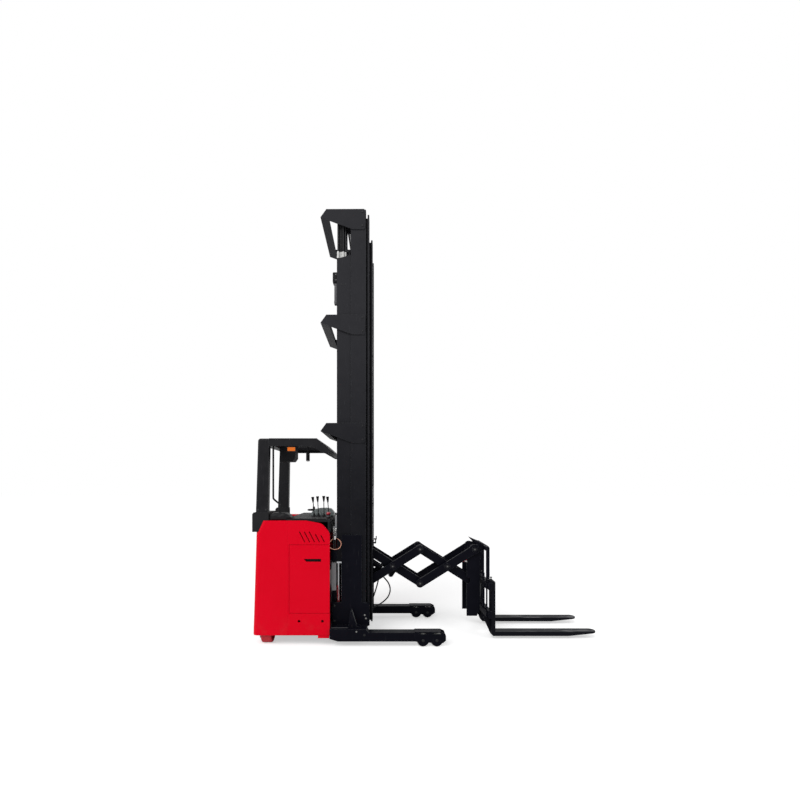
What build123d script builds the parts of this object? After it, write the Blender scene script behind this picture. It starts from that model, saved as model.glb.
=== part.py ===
from build123d import *
import math
import os

os.makedirs("parts", exist_ok=True)

# A stand-on reach truck with a double scissor. Millimetres: X forward to the
# fork tips, Y across the truck, Z up from the floor.

# Gaps
SEAT = 0.3
RUN = 0.05
CLEAR = 5

# Body shell
BODY_HALF = 530
BODY_BOTTOM = 117
BODY_REAR = -1915
BODY_REAR_LEAN = 34
SHOULDER = 1234
BODY_TOP = 1357
BODY_FRONT = -1076
SKIN = 25
REAR_ROUND = 60
FRONT_ROUND = 90
COMPARTMENT_NEAR = -190
COMPARTMENT_FAR = BODY_HALF - 80
COMPARTMENT_FRONT = -1530
FLOOR_TOP = 250
FLOOR_PLATE = 15
DOOR_REAR = -1516
DOOR_BOTTOM = 354
DOOR_TOP = 1097
SEAM = 3
DOOR_HINGE = (BODY_FRONT - 10, 12 - BODY_HALF)
HINGE_PIN = 14
VENT_COUNT = 5
VENT_PITCH = 53
VENT_WIDTH = 10
VENT_TOP = (-1403, 1234)
VENT_FOOT = (-1347, 1127)
LIFT_HOLE_RADIUS = 15
LIFT_HOLE_X = (-1408, -1155)
LIFT_HOLE_Z = 269

# Guard and casings
GUARD_OUTER = BODY_HALF - 10
GUARD_INNER = GUARD_OUTER - 70
CASING_REAR = -1921
CASING_FRONT = -1740
CASING_TOP = 1445
POST_REAR = -1858
POST_FRONT = -1734
POST_SPREAD = 20
ROOF_BOTTOM = 2164
ROOF_TOP = 2248
ROOF_FRONT = -1219
VISOR_TIP = (-1078, 2126)
VISOR_FOOT = (-1102, 2082)
ROOF_BARS = 7
ROOF_PLATE = 22

# Chassis and legs
LEG_OUTER = 555
LEG_WIDTH = 110
LEG_INNER = LEG_OUTER - LEG_WIDTH
LEG_BOTTOM = 60
LEG_TOP = 155
LEG_ROOT_TOP = 190
LEG_REAR = BODY_FRONT
BOX_REAR = -1090
LEG_TIP = 177
WHEEL_BOX_REAR = -157
WHEEL_BOX_PLATE = 10
BASE_TOP = 175
BASE_FRONT = -683
CHASSIS_PLATE = 12
BATTERY = (390, 2 * BODY_HALF - 120, 570)
BATTERY_X = -1305

# Wheels: radius, width
LOAD_WHEEL = (70, 80)
LOAD_WHEEL_X = (-70, 79)
LOAD_WHEEL_Y = LEG_OUTER - LEG_WIDTH / 2
DRIVE_WHEEL = (110, 114)
DRIVE_AT = (-1776, 138 - BODY_HALF)
CASTER_WHEEL = (75, 50)
CASTER_AT = (-1776, BODY_HALF - 138)
CASTER_TRAIL = 36
WELL_RADIUS = 131
WELL_WALL = -1640
DRIVE_PLATE_Z = 249
CASTER_PLATE_Z = 205

# Mast. Each stage: rear edge, front edge, web inner and outer, flange inner and outer
MAST_FOOT = 175
OUTER_STAGE = (-858, -690, 388, 400, 330, 400)
MIDDLE_STAGE = (-823, -655, 306, 320, 262, 384)
INNER_STAGE = (-788, -620, 236, 250, 198, 296)
OUTER_TOP = 4800
MIDDLE_TOP = 4753
INNER_TOP = 4520
STAGE_FOOT = 195
OUTER_FLANGE = 20
INNER_FLANGE = 18
BRACKET_FEET = (4581, 3411, 2210)
BRACKET_PLATE = 10
LIFT_CYLINDER_AT = (-925, 305)
LIFT_BARREL_RADIUS = 35
LIFT_ROD_RADIUS = 25
LIFT_BARREL_TOP = 4300
COVER_REAR = -1015
COVER_FOOT = 890
COVER_TOP = 4260
COVER_SHEET = 6
FREE_LIFT_X = -848
FREE_LIFT_RADIUS = 27
FREE_LIFT_ROD = 18
FREE_LIFT_TOP = 2300

# Double scissor
ARM_LENGTH = 750
REST_ANGLE = 32
ARM_DEPTH = 96
UPPER_PIVOT = (-707, 993)
INNER_ARM = (92, 116)
OUTER_ARM = (155, 178)
PIVOT_RADIUS = 20
HEAD_RADIUS = 56
COLLAR_RADIUS = 28
RETRACTED_ANGLE = 78
GUIDE_ROLLER = 30

# Reach cylinders
CYLINDER_Y = 48
CYLINDER_FOOT = (-745, 890)
LUG_ALONG = 420
LUG_BELOW = 110
BARREL_RADIUS = 27
BARREL_LENGTH = 262
ROD_RADIUS = 16
LUG_PIN_RADIUS = 12
ROD_EYE_BORE = 22
ROD_EYE_RADIUS = 34

# Scissor geometry at rest
RISE = ARM_LENGTH * math.sin(math.radians(REST_ANGLE))
RUN_OUT = ARM_LENGTH * math.cos(math.radians(REST_ANGLE))
P1 = UPPER_PIVOT
S1 = (P1[0], P1[1] - RISE)
MID_UPPER = (P1[0] + RUN_OUT, P1[1])
MID_LOWER = (P1[0] + RUN_OUT, P1[1] - RISE)
P2 = (P1[0] + 2 * RUN_OUT, P1[1])
S2 = (P2[0], P2[1] - RISE)
CROSS_REAR = ((P1[0] + MID_LOWER[0]) / 2, (P1[1] + MID_LOWER[1]) / 2)
CROSS_FRONT = ((MID_LOWER[0] + P2[0]) / 2, (MID_LOWER[1] + P2[1]) / 2)
HEAD_X = round(P2[0])

# Carriage, front frame, tilt frame and side shift
CARRIAGE_PLATE = (183, 193)
CARRIAGE_REAR = -783
CARRIAGE_FRONT = -640
CARRIAGE_FOOT = 211
CARRIAGE_TOP = 1065
GUIDE_PLATE = (126, 134)
FRAME_PLATE = (136, 150)
FRAME_REAR = HEAD_X - 88
FRAME_FRONT = HEAD_X + 67
FRAME_FOOT = 211
FRAME_SHOULDER = UPPER_PIVOT[1] - 75
TILT_PLATE = (118, 131)
TILT_HINGE = (HEAD_X + 90, UPPER_PIVOT[1] - 33)
TILT_FRONT = HEAD_X + 121
SHIFT_FRONT = TILT_FRONT + 38
SHIFT_HALF = 345
UPPER_BAR = (560, 640)
LOWER_BAR = (240, 320)
SHIFT_TRAVEL = 75
UPRIGHT = (214, 236)
RAIL_HALF = UPRIGHT[1] + SHIFT_TRAVEL

# Forks
FORK_Y = 258
FORK_WIDTH = 120
FORK_BOTTOM = 35
FORK_THICK = 47
FORK_TIP = SHIFT_FRONT + 1197
SHANK_THICK = 45
SHANK_TOP = 655


def outline(points, y_low, y_high, mode=Mode.ADD, rounds=()):
    """A side outline in X and Z, carried across from y_low to y_high."""
    with BuildSketch(Plane.XZ.offset(-y_low)) as profile:
        with BuildLine():
            Polyline(*points, close=True)
        make_face()
        for corner, radius in rounds:
            fillet(profile.vertices().sort_by_distance((corner[0], corner[1], 0))[0], radius)
    extrude(profile.sketch, amount=y_low - y_high, mode=mode)


def block(x_low, x_high, y_low, y_high, z_low, z_high, mode=Mode.ADD):
    """A plate or bar between two corners."""
    centre = ((x_low + x_high) / 2, (y_low + y_high) / 2, (z_low + z_high) / 2)
    with Locations(centre):
        Box(x_high - x_low, y_high - y_low, z_high - z_low, mode=mode)


def cross_shaft(at, radius, y_low, y_high, mode=Mode.ADD):
    """A round bar or bore that lies across the truck."""
    with BuildSketch(Plane.XZ.offset(-y_low)) as profile:
        with Locations(at):
            Circle(radius)
    extrude(profile.sketch, amount=y_low - y_high, mode=mode)


def upright(at, radius, z_low, z_high, mode=Mode.ADD):
    """A round bar or bore that stands upright."""
    with BuildSketch(Plane.XY.offset(z_low)) as profile:
        with Locations(at):
            Circle(radius)
    extrude(profile.sketch, amount=z_high - z_low, mode=mode)


def slot_bar(start, end, radius, y_low, y_high, mode=Mode.ADD):
    """A flat bar with round ends from one pin to another."""
    with BuildSketch(Plane.XZ.offset(-y_low)) as profile:
        with BuildLine():
            Line(start, end)
        trace(line_width=2 * radius)
        with Locations(start, end):
            Circle(radius)
    extrude(profile.sketch, amount=y_low - y_high, mode=mode)


def save(builder, name):
    builder.part.label = name
    export_step(builder.part, f"parts/{name}.step")


def on_falling_arm(start, along, below=0.0):
    """A point along an arm that falls to the front, and below its centre line."""
    angle = math.radians(REST_ANGLE)
    x = start[0] + along * math.cos(angle) - below * math.sin(angle)
    z = start[1] - along * math.sin(angle) - below * math.cos(angle)
    return (x, z)


LUG_PIN = on_falling_arm(P1, LUG_ALONG, LUG_BELOW)

BODY_PROFILE = [
    (BODY_REAR, BODY_BOTTOM),
    (BODY_REAR + BODY_REAR_LEAN, SHOULDER),
    (BODY_REAR + 90, BODY_TOP),
    (BODY_FRONT - 258, BODY_TOP),
    (BODY_FRONT - 85, BODY_TOP - 32),
    (BODY_FRONT, BODY_TOP - 131),
    (BODY_FRONT, BODY_BOTTOM),
]
PROFILE_ROUNDS = (
    ((BODY_FRONT, BODY_TOP - 131), FRONT_ROUND),
    ((BODY_FRONT - 85, BODY_TOP - 32), FRONT_ROUND),
)


# Chassis: floor plate, wheel mounting plates, battery rails and the box between the legs
with BuildPart() as base_frame:
    plate_top = BODY_BOTTOM + CHASSIS_PLATE
    rail_top = plate_top + 61
    block(BODY_REAR + SKIN + 1, BOX_REAR, SKIN - BODY_HALF, BODY_HALF - SKIN, BODY_BOTTOM, plate_top)
    for at in (DRIVE_AT, CASTER_AT):
        upright(at, WELL_RADIUS, BODY_BOTTOM - 1, plate_top + 1, mode=Mode.SUBTRACT)
        outer = math.copysign(BODY_HALF, at[1])
        block(BODY_REAR, at[0], min(at[1], outer), max(at[1], outer), BODY_BOTTOM - 1, plate_top + 1,
              mode=Mode.SUBTRACT)
    for rail in (-380, 280):
        block(COMPARTMENT_FRONT, BOX_REAR, rail, rail + 100, plate_top, rail_top)
    block(COMPARTMENT_FRONT, COMPARTMENT_FRONT + 20, -400, 400, plate_top, rail_top)
    block(BOX_REAR, BASE_FRONT, -LEG_INNER, LEG_INNER, LEG_BOTTOM + 10, BASE_TOP)
    block(WELL_WALL, WELL_WALL + 15, SKIN - BODY_HALF, COMPARTMENT_NEAR - SKIN, plate_top, DRIVE_PLATE_Z)
    block(BODY_REAR + SKIN + 5, WELL_WALL + 15, SKIN - BODY_HALF, COMPARTMENT_NEAR - SKIN,
          DRIVE_PLATE_Z, DRIVE_PLATE_Z + CHASSIS_PLATE)
    upright(DRIVE_AT, 60 + RUN, DRIVE_PLATE_Z - 1, DRIVE_PLATE_Z + 20, mode=Mode.SUBTRACT)
    block(WELL_WALL, WELL_WALL + 15, 250, BODY_HALF - SKIN, plate_top, CASTER_PLATE_Z)
    block(BODY_REAR + SKIN + 5, WELL_WALL + 15, 250, BODY_HALF - SKIN,
          CASTER_PLATE_Z, CASTER_PLATE_Z + CHASSIS_PLATE)
    upright(CASTER_AT, 20 + RUN, CASTER_PLATE_Z - 1, CASTER_PLATE_Z + 20, mode=Mode.SUBTRACT)
save(base_frame, "base_frame")

# Outrigger legs: box tubes with a raised root and a wheel box with two lobes
with BuildPart() as legs:
    box_top = LEG_TOP + 8
    outline([(LEG_REAR, 87), (LEG_REAR + 89, LEG_BOTTOM),
             (WHEEL_BOX_REAR, LEG_BOTTOM), (WHEEL_BOX_REAR, LEG_TOP), (BASE_FRONT + 25, LEG_TOP),
             (BASE_FRONT, LEG_ROOT_TOP), (LEG_REAR, LEG_ROOT_TOP)], LEG_INNER, LEG_OUTER)
    for y_low in (LEG_INNER, LEG_OUTER - WHEEL_BOX_PLATE):
        y_high = y_low + WHEEL_BOX_PLATE
        outline([(WHEEL_BOX_REAR - 1, LEG_BOTTOM), (WHEEL_BOX_REAR - 1, LEG_TOP),
                 (WHEEL_BOX_REAR + 12, box_top), (LEG_TIP - 52, box_top), (LEG_TIP - 8, box_top - 20),
                 (LEG_TIP, box_top - 45), (LEG_TIP, 70), (LEG_TIP - 30, 44), (LEG_TIP - 60, LEG_BOTTOM - 22)],
                y_low, y_high)
        for x in LOAD_WHEEL_X:
            cross_shaft((x, LOAD_WHEEL[0]), LOAD_WHEEL[0] - 9, y_low, y_high)
        for x in LOAD_WHEEL_X:
            with BuildSketch(Plane.XZ.offset(-y_low)) as window:
                with Locations((x, LOAD_WHEEL[0])):
                    Circle(LOAD_WHEEL[0] + 15)
                with Locations((x, LOAD_WHEEL[0])):
                    Rectangle(200, 2 * LOAD_WHEEL[0] - 2, mode=Mode.SUBTRACT)
                with Locations((x, LOAD_WHEEL[0] - 80)):
                    Rectangle(200, 100, mode=Mode.SUBTRACT)
            extrude(window.sketch, amount=y_low - y_high, mode=Mode.SUBTRACT)
    block(WHEEL_BOX_REAR, LEG_TIP - 52, LEG_INNER, LEG_OUTER, box_top - 5, box_top)
    block(LEG_TIP - 12, LEG_TIP, LEG_INNER, LEG_OUTER, 72, box_top - 46)
    for x in LOAD_WHEEL_X:
        cross_shaft((x, LOAD_WHEEL[0]), 12, LEG_INNER, LEG_OUTER)
    mirror(about=Plane.XZ)
save(legs, "legs")

# Load wheels: polyurethane tread on a steel hub, on pins through the wheel box
for side, side_name in ((-1, "right"), (1, "left")):
    for index, x in enumerate(LOAD_WHEEL_X):
        with BuildPart() as load_wheel:
            y = side * LOAD_WHEEL_Y
            cross_shaft((x, LOAD_WHEEL[0]), LOAD_WHEEL[0], y - LOAD_WHEEL[1] / 2, y + LOAD_WHEEL[1] / 2)
            chamfer(load_wheel.edges().filter_by(GeomType.CIRCLE), 4)
            for face_y in (y - LOAD_WHEEL[1] / 2, y + LOAD_WHEEL[1] / 2 - 8):
                cross_shaft((x, LOAD_WHEEL[0]), 48, face_y, face_y + 8, mode=Mode.SUBTRACT)
                cross_shaft((x, LOAD_WHEEL[0]), 22, face_y, face_y + 8)
            cross_shaft((x, LOAD_WHEEL[0]), 12 + RUN, y - 60, y + 60, mode=Mode.SUBTRACT)
        save(load_wheel, f"load_wheel_{side_name}_{('rear', 'front')[index]}")

# Drive wheel, turned across the truck as it is parked
with BuildPart() as drive_wheel:
    with BuildSketch(Plane.YZ.offset(DRIVE_AT[0] - DRIVE_WHEEL[1] / 2)) as tread:
        with Locations((DRIVE_AT[1], DRIVE_WHEEL[0])):
            Circle(DRIVE_WHEEL[0])
    extrude(tread.sketch, amount=DRIVE_WHEEL[1])
    fillet(drive_wheel.edges().filter_by(GeomType.CIRCLE), 14)
    with BuildSketch(Plane.YZ.offset(DRIVE_AT[0] + DRIVE_WHEEL[1] / 2 - 20)) as dish:
        with Locations((DRIVE_AT[1], DRIVE_WHEEL[0])):
            Circle(74)
            Circle(30, mode=Mode.SUBTRACT)
    extrude(dish.sketch, amount=30, mode=Mode.SUBTRACT)
    with BuildSketch(Plane.YZ.offset(DRIVE_AT[0] - 100)) as bore:
        with Locations((DRIVE_AT[1], DRIVE_WHEEL[0])):
            Circle(18 + RUN)
    extrude(bore.sketch, amount=200, mode=Mode.SUBTRACT)
save(drive_wheel, "drive_wheel")

# Drive unit: turntable, gear leg beside the wheel, axle and the motor above the plate
with BuildPart() as drive_unit:
    leg_x = DRIVE_AT[0] - DRIVE_WHEEL[1] / 2
    turntable = DRIVE_PLATE_Z - SEAT
    upright(DRIVE_AT, 100, turntable - 18, turntable)
    upright(DRIVE_AT, 60, turntable, DRIVE_PLATE_Z + CHASSIS_PLATE + SEAT)
    upright(DRIVE_AT, 85, DRIVE_PLATE_Z + CHASSIS_PLATE + SEAT, DRIVE_PLATE_Z + 260)
    block(leg_x - 25, leg_x - 5, DRIVE_AT[1] - 45, DRIVE_AT[1] + 45, 60, turntable - 18)
    with BuildSketch(Plane.YZ.offset(leg_x - 24)) as axle:
        with Locations((DRIVE_AT[1], DRIVE_WHEEL[0])):
            Circle(18)
    extrude(axle.sketch, amount=DRIVE_WHEEL[1] + 22)
save(drive_unit, "drive_unit")

# Caster: swivel head, two fork legs with trail, and its wheel
with BuildPart() as caster_yoke:
    wheel_x = CASTER_AT[0] - CASTER_TRAIL
    yoke_top = CASTER_PLATE_Z - SEAT
    upright(CASTER_AT, 52, yoke_top - 16, yoke_top)
    upright(CASTER_AT, 20, yoke_top, CASTER_PLATE_Z + CHASSIS_PLATE + SEAT)
    upright(CASTER_AT, 32, CASTER_PLATE_Z + CHASSIS_PLATE + SEAT, CASTER_PLATE_Z + 24)
    for side in (-1, 1):
        y = CASTER_AT[1] + side * (CASTER_WHEEL[1] / 2 + 9)
        outline([(wheel_x - 20, CASTER_WHEEL[0] - 20), (wheel_x + 20, CASTER_WHEEL[0] - 20),
                 (CASTER_AT[0] + 40, yoke_top - 16), (CASTER_AT[0] - 48, yoke_top - 16)],
                y - 4, y + 4)
    block(CASTER_AT[0] - 48, CASTER_AT[0] + 40, CASTER_AT[1] - 38, CASTER_AT[1] + 38,
          yoke_top - 24, yoke_top - 16)
    cross_shaft((wheel_x, CASTER_WHEEL[0]), 10, CASTER_AT[1] - 40, CASTER_AT[1] + 40)
save(caster_yoke, "caster_yoke")

with BuildPart() as caster_wheel:
    cross_shaft((CASTER_AT[0] - CASTER_TRAIL, CASTER_WHEEL[0]), CASTER_WHEEL[0],
                CASTER_AT[1] - CASTER_WHEEL[1] / 2, CASTER_AT[1] + CASTER_WHEEL[1] / 2)
    fillet(caster_wheel.edges().filter_by(GeomType.CIRCLE), 8)
    cross_shaft((CASTER_AT[0] - CASTER_TRAIL, CASTER_WHEEL[0]), 10 + RUN,
                CASTER_AT[1] - 60, CASTER_AT[1] + 60, mode=Mode.SUBTRACT)
save(caster_wheel, "caster_wheel")


def round_rear_corner(builder, side):
    """Round the upright outer corner at the rear of a side panel."""
    corner = [e for e in builder.edges()
              if e.center().Y * side > BODY_HALF - 1 and e.center().X < BODY_REAR + 80]
    fillet(corner, REAR_ROUND)


def vents(side):
    """Slanted slots through a side panel, the last two shorter."""
    drop = (0, 0, 0, 26, 39)
    for index in range(VENT_COUNT):
        shift = index * VENT_PITCH
        slope = (VENT_FOOT[0] - VENT_TOP[0]) / (VENT_TOP[1] - VENT_FOOT[1])
        top = (VENT_TOP[0] + shift + drop[index] * slope, VENT_TOP[1] - drop[index])
        foot = (VENT_FOOT[0] + shift, VENT_FOOT[1])
        y = side * (BODY_HALF - SKIN / 2)
        slot_bar(top, foot, VENT_WIDTH / 2, y - SKIN, y + SKIN, mode=Mode.SUBTRACT)


# Near rear housing over the drive unit, with the rounded rear corner
inner_y = SKIN - BODY_HALF
with BuildPart() as drive_housing:
    outline(BODY_PROFILE, -BODY_HALF, COMPARTMENT_NEAR)
    block(COMPARTMENT_FRONT, BODY_FRONT + 1, -BODY_HALF - 1, COMPARTMENT_NEAR + 1,
          BODY_BOTTOM - 1, BODY_TOP + 1, mode=Mode.SUBTRACT)
    round_rear_corner(drive_housing, -1)
    outline([(BODY_REAR + SKIN, BODY_BOTTOM - 1), (BODY_REAR + BODY_REAR_LEAN + SKIN, SHOULDER),
             (BODY_REAR + 90 + SKIN, BODY_TOP - SKIN), (COMPARTMENT_FRONT, BODY_TOP - SKIN),
             (COMPARTMENT_FRONT, BODY_BOTTOM - 1)], inner_y, COMPARTMENT_NEAR - SKIN, mode=Mode.SUBTRACT)
    block(BODY_REAR - 10, CASING_FRONT, -GUARD_OUTER, COMPARTMENT_NEAR + 1,
          SHOULDER, BODY_TOP + 1, mode=Mode.SUBTRACT)
    block(BODY_REAR - 10, COMPARTMENT_FRONT, COMPARTMENT_NEAR - SKIN, COMPARTMENT_NEAR + 1,
          BODY_BOTTOM - 1, BODY_BOTTOM + CHASSIS_PLATE, mode=Mode.SUBTRACT)
    upright(DRIVE_AT, WELL_RADIUS, BODY_BOTTOM - 1, DRIVE_PLATE_Z, mode=Mode.SUBTRACT)
save(drive_housing, "drive_housing")

# Near side panel: the outer skin ahead of the housing, with the door opening, vents and lift holes
with BuildPart() as side_panel_near:
    outline(BODY_PROFILE, -BODY_HALF, inner_y, rounds=PROFILE_ROUNDS)
    block(BODY_REAR - 10, COMPARTMENT_FRONT, -BODY_HALF - 1, inner_y + 1,
          BODY_BOTTOM - 1, BODY_TOP + 1, mode=Mode.SUBTRACT)
    block(DOOR_REAR, BODY_FRONT + 1, -BODY_HALF - 1, inner_y, DOOR_BOTTOM, DOOR_TOP, mode=Mode.SUBTRACT)
    vents(-1)
    for x in LIFT_HOLE_X:
        cross_shaft((x, LIFT_HOLE_Z), LIFT_HOLE_RADIUS, -BODY_HALF - 1, inner_y + 1, mode=Mode.SUBTRACT)
    upright(DOOR_HINGE, 6 + RUN, DOOR_BOTTOM - HINGE_PIN - 2, DOOR_TOP + HINGE_PIN + 2, mode=Mode.SUBTRACT)
    block(BODY_FRONT - 129, BODY_FRONT - 8, -BODY_HALF + 5, inner_y, 85, BODY_BOTTOM)
save(side_panel_near, "side_panel_near")

# Battery door in the near side, hinged at its front edge, with a hand slot
with BuildPart() as battery_door:
    block(DOOR_REAR + SEAM, BODY_FRONT - 1, -BODY_HALF, SKIN - BODY_HALF - 1,
          DOOR_BOTTOM + SEAM, DOOR_TOP - SEAM)
    outline([(-1356, 940), (-1330, 911), (-1170, 911), (-1170, 943), (-1352, 943)],
            -BODY_HALF - 1, SKIN - BODY_HALF, mode=Mode.SUBTRACT)
    upright(DOOR_HINGE, 6, DOOR_BOTTOM - HINGE_PIN, DOOR_TOP + HINGE_PIN)
save(battery_door, "battery_door")

# Far side: skin and the rear corner pillar beside the entry
with BuildPart() as side_panel_far:
    outline(BODY_PROFILE, COMPARTMENT_FAR, BODY_HALF, rounds=PROFILE_ROUNDS)
    round_rear_corner(side_panel_far, 1)
    block(COMPARTMENT_FRONT, BODY_FRONT + 1, COMPARTMENT_FAR - 1, BODY_HALF - SKIN,
          BODY_BOTTOM - 1, BODY_TOP + 1, mode=Mode.SUBTRACT)
    block(BODY_REAR - 10, CASING_FRONT, COMPARTMENT_FAR - 1, GUARD_OUTER,
          SHOULDER, BODY_TOP + 1, mode=Mode.SUBTRACT)
    block(BODY_REAR + SKIN, COMPARTMENT_FRONT, COMPARTMENT_FAR - 1, BODY_HALF - SKIN,
          BODY_BOTTOM - 1, CASTER_PLATE_Z + 40, mode=Mode.SUBTRACT)
    upright(CASTER_AT, WELL_RADIUS, BODY_BOTTOM - 1, CASTER_PLATE_Z, mode=Mode.SUBTRACT)
    vents(1)
save(side_panel_far, "side_panel_far")

# Battery
with BuildPart() as battery_block:
    battery_foot = BODY_BOTTOM + CHASSIS_PLATE + 61
    block(BATTERY_X - BATTERY[0] / 2, BATTERY_X + BATTERY[0] / 2, -BATTERY[1] / 2, BATTERY[1] / 2,
          battery_foot, battery_foot + BATTERY[2])
save(battery_block, "battery_block")

# Operator's floor with its rear step, and the wall in front of the operator
with BuildPart() as operator_floor:
    block(BODY_REAR + SKIN + 5, COMPARTMENT_FRONT, COMPARTMENT_NEAR, COMPARTMENT_FAR,
          FLOOR_TOP - FLOOR_PLATE, FLOOR_TOP)
    block(BODY_REAR + 10, BODY_REAR + SKIN + 5, COMPARTMENT_NEAR, COMPARTMENT_FAR,
          BODY_BOTTOM + 20, FLOOR_TOP)
save(operator_floor, "operator_floor")

with BuildPart() as front_bulkhead:
    block(COMPARTMENT_FRONT, COMPARTMENT_FRONT + 14, SKIN - BODY_HALF, BODY_HALF - SKIN,
          BODY_BOTTOM + CHASSIS_PLATE + 61, BODY_TOP - 17)
save(front_bulkhead, "front_bulkhead")

# Console over the battery, with the display housing and the emergency stop
CONSOLE_TOP = BODY_TOP + 20
CONSOLE_REAR = COMPARTMENT_FRONT - 22
with BuildPart() as console:
    outline([(COMPARTMENT_FRONT, BODY_TOP - 17), (COMPARTMENT_FRONT, BODY_TOP),
             (CONSOLE_REAR, BODY_TOP), (CONSOLE_REAR, CONSOLE_TOP),
             (BODY_FRONT - 45, CONSOLE_TOP), (BODY_FRONT - 8, CONSOLE_TOP - 37),
             (BODY_FRONT - 4, BODY_TOP - 130), (BODY_FRONT - 25, BODY_TOP - 130),
             (BODY_FRONT - 25, BODY_TOP - 17)],
            SKIN - BODY_HALF, BODY_HALF - SKIN, rounds=(((BODY_FRONT - 45, CONSOLE_TOP), 30),))
    outline([(-1371, CONSOLE_TOP - 1), (-1355, CONSOLE_TOP + 40), (-1300, CONSOLE_TOP + 82),
             (-1135, CONSOLE_TOP + 88), (-1094, CONSOLE_TOP + 40), (-1094, CONSOLE_TOP - 1)], -40, 60,
            rounds=(((-1300, CONSOLE_TOP + 82), 60), ((-1135, CONSOLE_TOP + 88), 40)))
    upright((-1130, -220), 26, CONSOLE_TOP - 1, CONSOLE_TOP + 14)
    upright((-1130, -220), 20, CONSOLE_TOP + 13, CONSOLE_TOP + 34)
    upright((-1346, 190), 40, CONSOLE_TOP - 1, CONSOLE_TOP + 40)
save(console, "console")

# Four control levers: rubber boots, thin rods and tapered knobs
LEVER_Y = -150
LEVERS = (  # foot x, top x, knob top z
    (-1306, -1325, 1603),
    (-1256, -1269, 1610),
    (-1192, -1196, 1614),
    (-1135, -1152, 1606),
)
with BuildPart() as control_levers:
    for foot_x, top_x, top_z in LEVERS:
        lean = Vector(top_x - foot_x, 0, top_z - CONSOLE_TOP)
        rod = Plane(origin=(foot_x, LEVER_Y, CONSOLE_TOP), x_dir=(0, 1, 0), z_dir=lean)
        with BuildSketch(Plane.XY.offset(CONSOLE_TOP)) as boot:
            with Locations((foot_x, LEVER_Y)):
                Circle(19)
        with BuildSketch(rod.offset(34)) as boot_top:
            Circle(8)
        loft([boot.sketch.face(), boot_top.sketch.face()])
        with BuildSketch(rod.offset(10)) as stem:
            Circle(5)
        extrude(stem.sketch, amount=lean.length - 70)
        with BuildSketch(rod.offset(lean.length - 66)) as knob:
            Circle(8)
        with BuildSketch(rod.offset(lean.length)) as knob_top:
            Circle(18)
        loft([knob.sketch.face(), knob_top.sketch.face()])
save(control_levers, "control_levers")

# Steering wheel: thin rim, spokes and hub on the console's pedestal
STEER_AT = (-1346, 190)
with BuildPart() as steering_wheel:
    steer_z = CONSOLE_TOP + 40 + SEAT
    upright(STEER_AT, 28, steer_z, steer_z + 26)
    with BuildSketch(Plane.XY.offset(steer_z + 12)) as spokes:
        with Locations(STEER_AT):
            with PolarLocations(0, 3):
                with Locations((44, 0)):
                    Rectangle(88, 18)
    extrude(spokes.sketch, amount=6)
    with BuildSketch(Plane.XZ.offset(-STEER_AT[1])) as rim:
        with Locations((STEER_AT[0] + 92, steer_z + 15)):
            Circle(9)
    revolve(rim.sketch, axis=Axis((STEER_AT[0], STEER_AT[1], 0), (0, 0, 1)))
    upright((STEER_AT[0] - 31, STEER_AT[1] + 54), 14, steer_z + 17, steer_z + 52)
save(steering_wheel, "steering_wheel")

# Black casings at the rear corners, under the guard posts
with BuildPart() as rear_casings:
    casing = [(CASING_REAR, SHOULDER), (CASING_REAR, CASING_TOP - 20), (CASING_REAR + 20, CASING_TOP),
              (CASING_FRONT, CASING_TOP), (CASING_FRONT, SHOULDER)]
    outline(casing, -GUARD_OUTER, COMPARTMENT_NEAR)
    outline(casing, COMPARTMENT_FAR, GUARD_OUTER)
    rear_edges = rear_casings.edges().filter_by(Axis.Z).group_by(Axis.X)[0]
    chamfer(rear_edges, 12)
save(rear_casings, "rear_casings")

# Arm rest on the near side wall
with BuildPart() as armrest:
    outline([(CASING_FRONT, BODY_TOP), (CASING_FRONT, 1436), (-1560, 1432), (-1500, 1392),
             (-1491, CONSOLE_TOP), (CONSOLE_REAR, CONSOLE_TOP), (CONSOLE_REAR, BODY_TOP)],
            SKIN - BODY_HALF, -330, rounds=(((-1560, 1432), 30), ((-1500, 1392), 20)))
    fillet(armrest.edges().filter_by(GeomType.LINE).filter_by(Axis.X).group_by(Axis.Z)[-1], 6)
save(armrest, "armrest")

# Two guard posts, wider at the foot, with the outer rear corner rounded
with BuildPart() as guard_posts:
    outline([(POST_REAR, ROOF_TOP), (POST_FRONT, ROOF_TOP), (POST_FRONT - 13, CASING_TOP),
             (POST_REAR - POST_SPREAD - 5, CASING_TOP)], GUARD_INNER, GUARD_OUTER,
            rounds=(((POST_REAR, ROOF_TOP), 30),))
    outer_rear = [e for e in guard_posts.edges()
                  if e.center().Y > GUARD_OUTER - 1 and e.center().X < POST_REAR + 12]
    fillet(outer_rear, 24)
    mirror(about=Plane.XZ)
save(guard_posts, "guard_posts")

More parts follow.
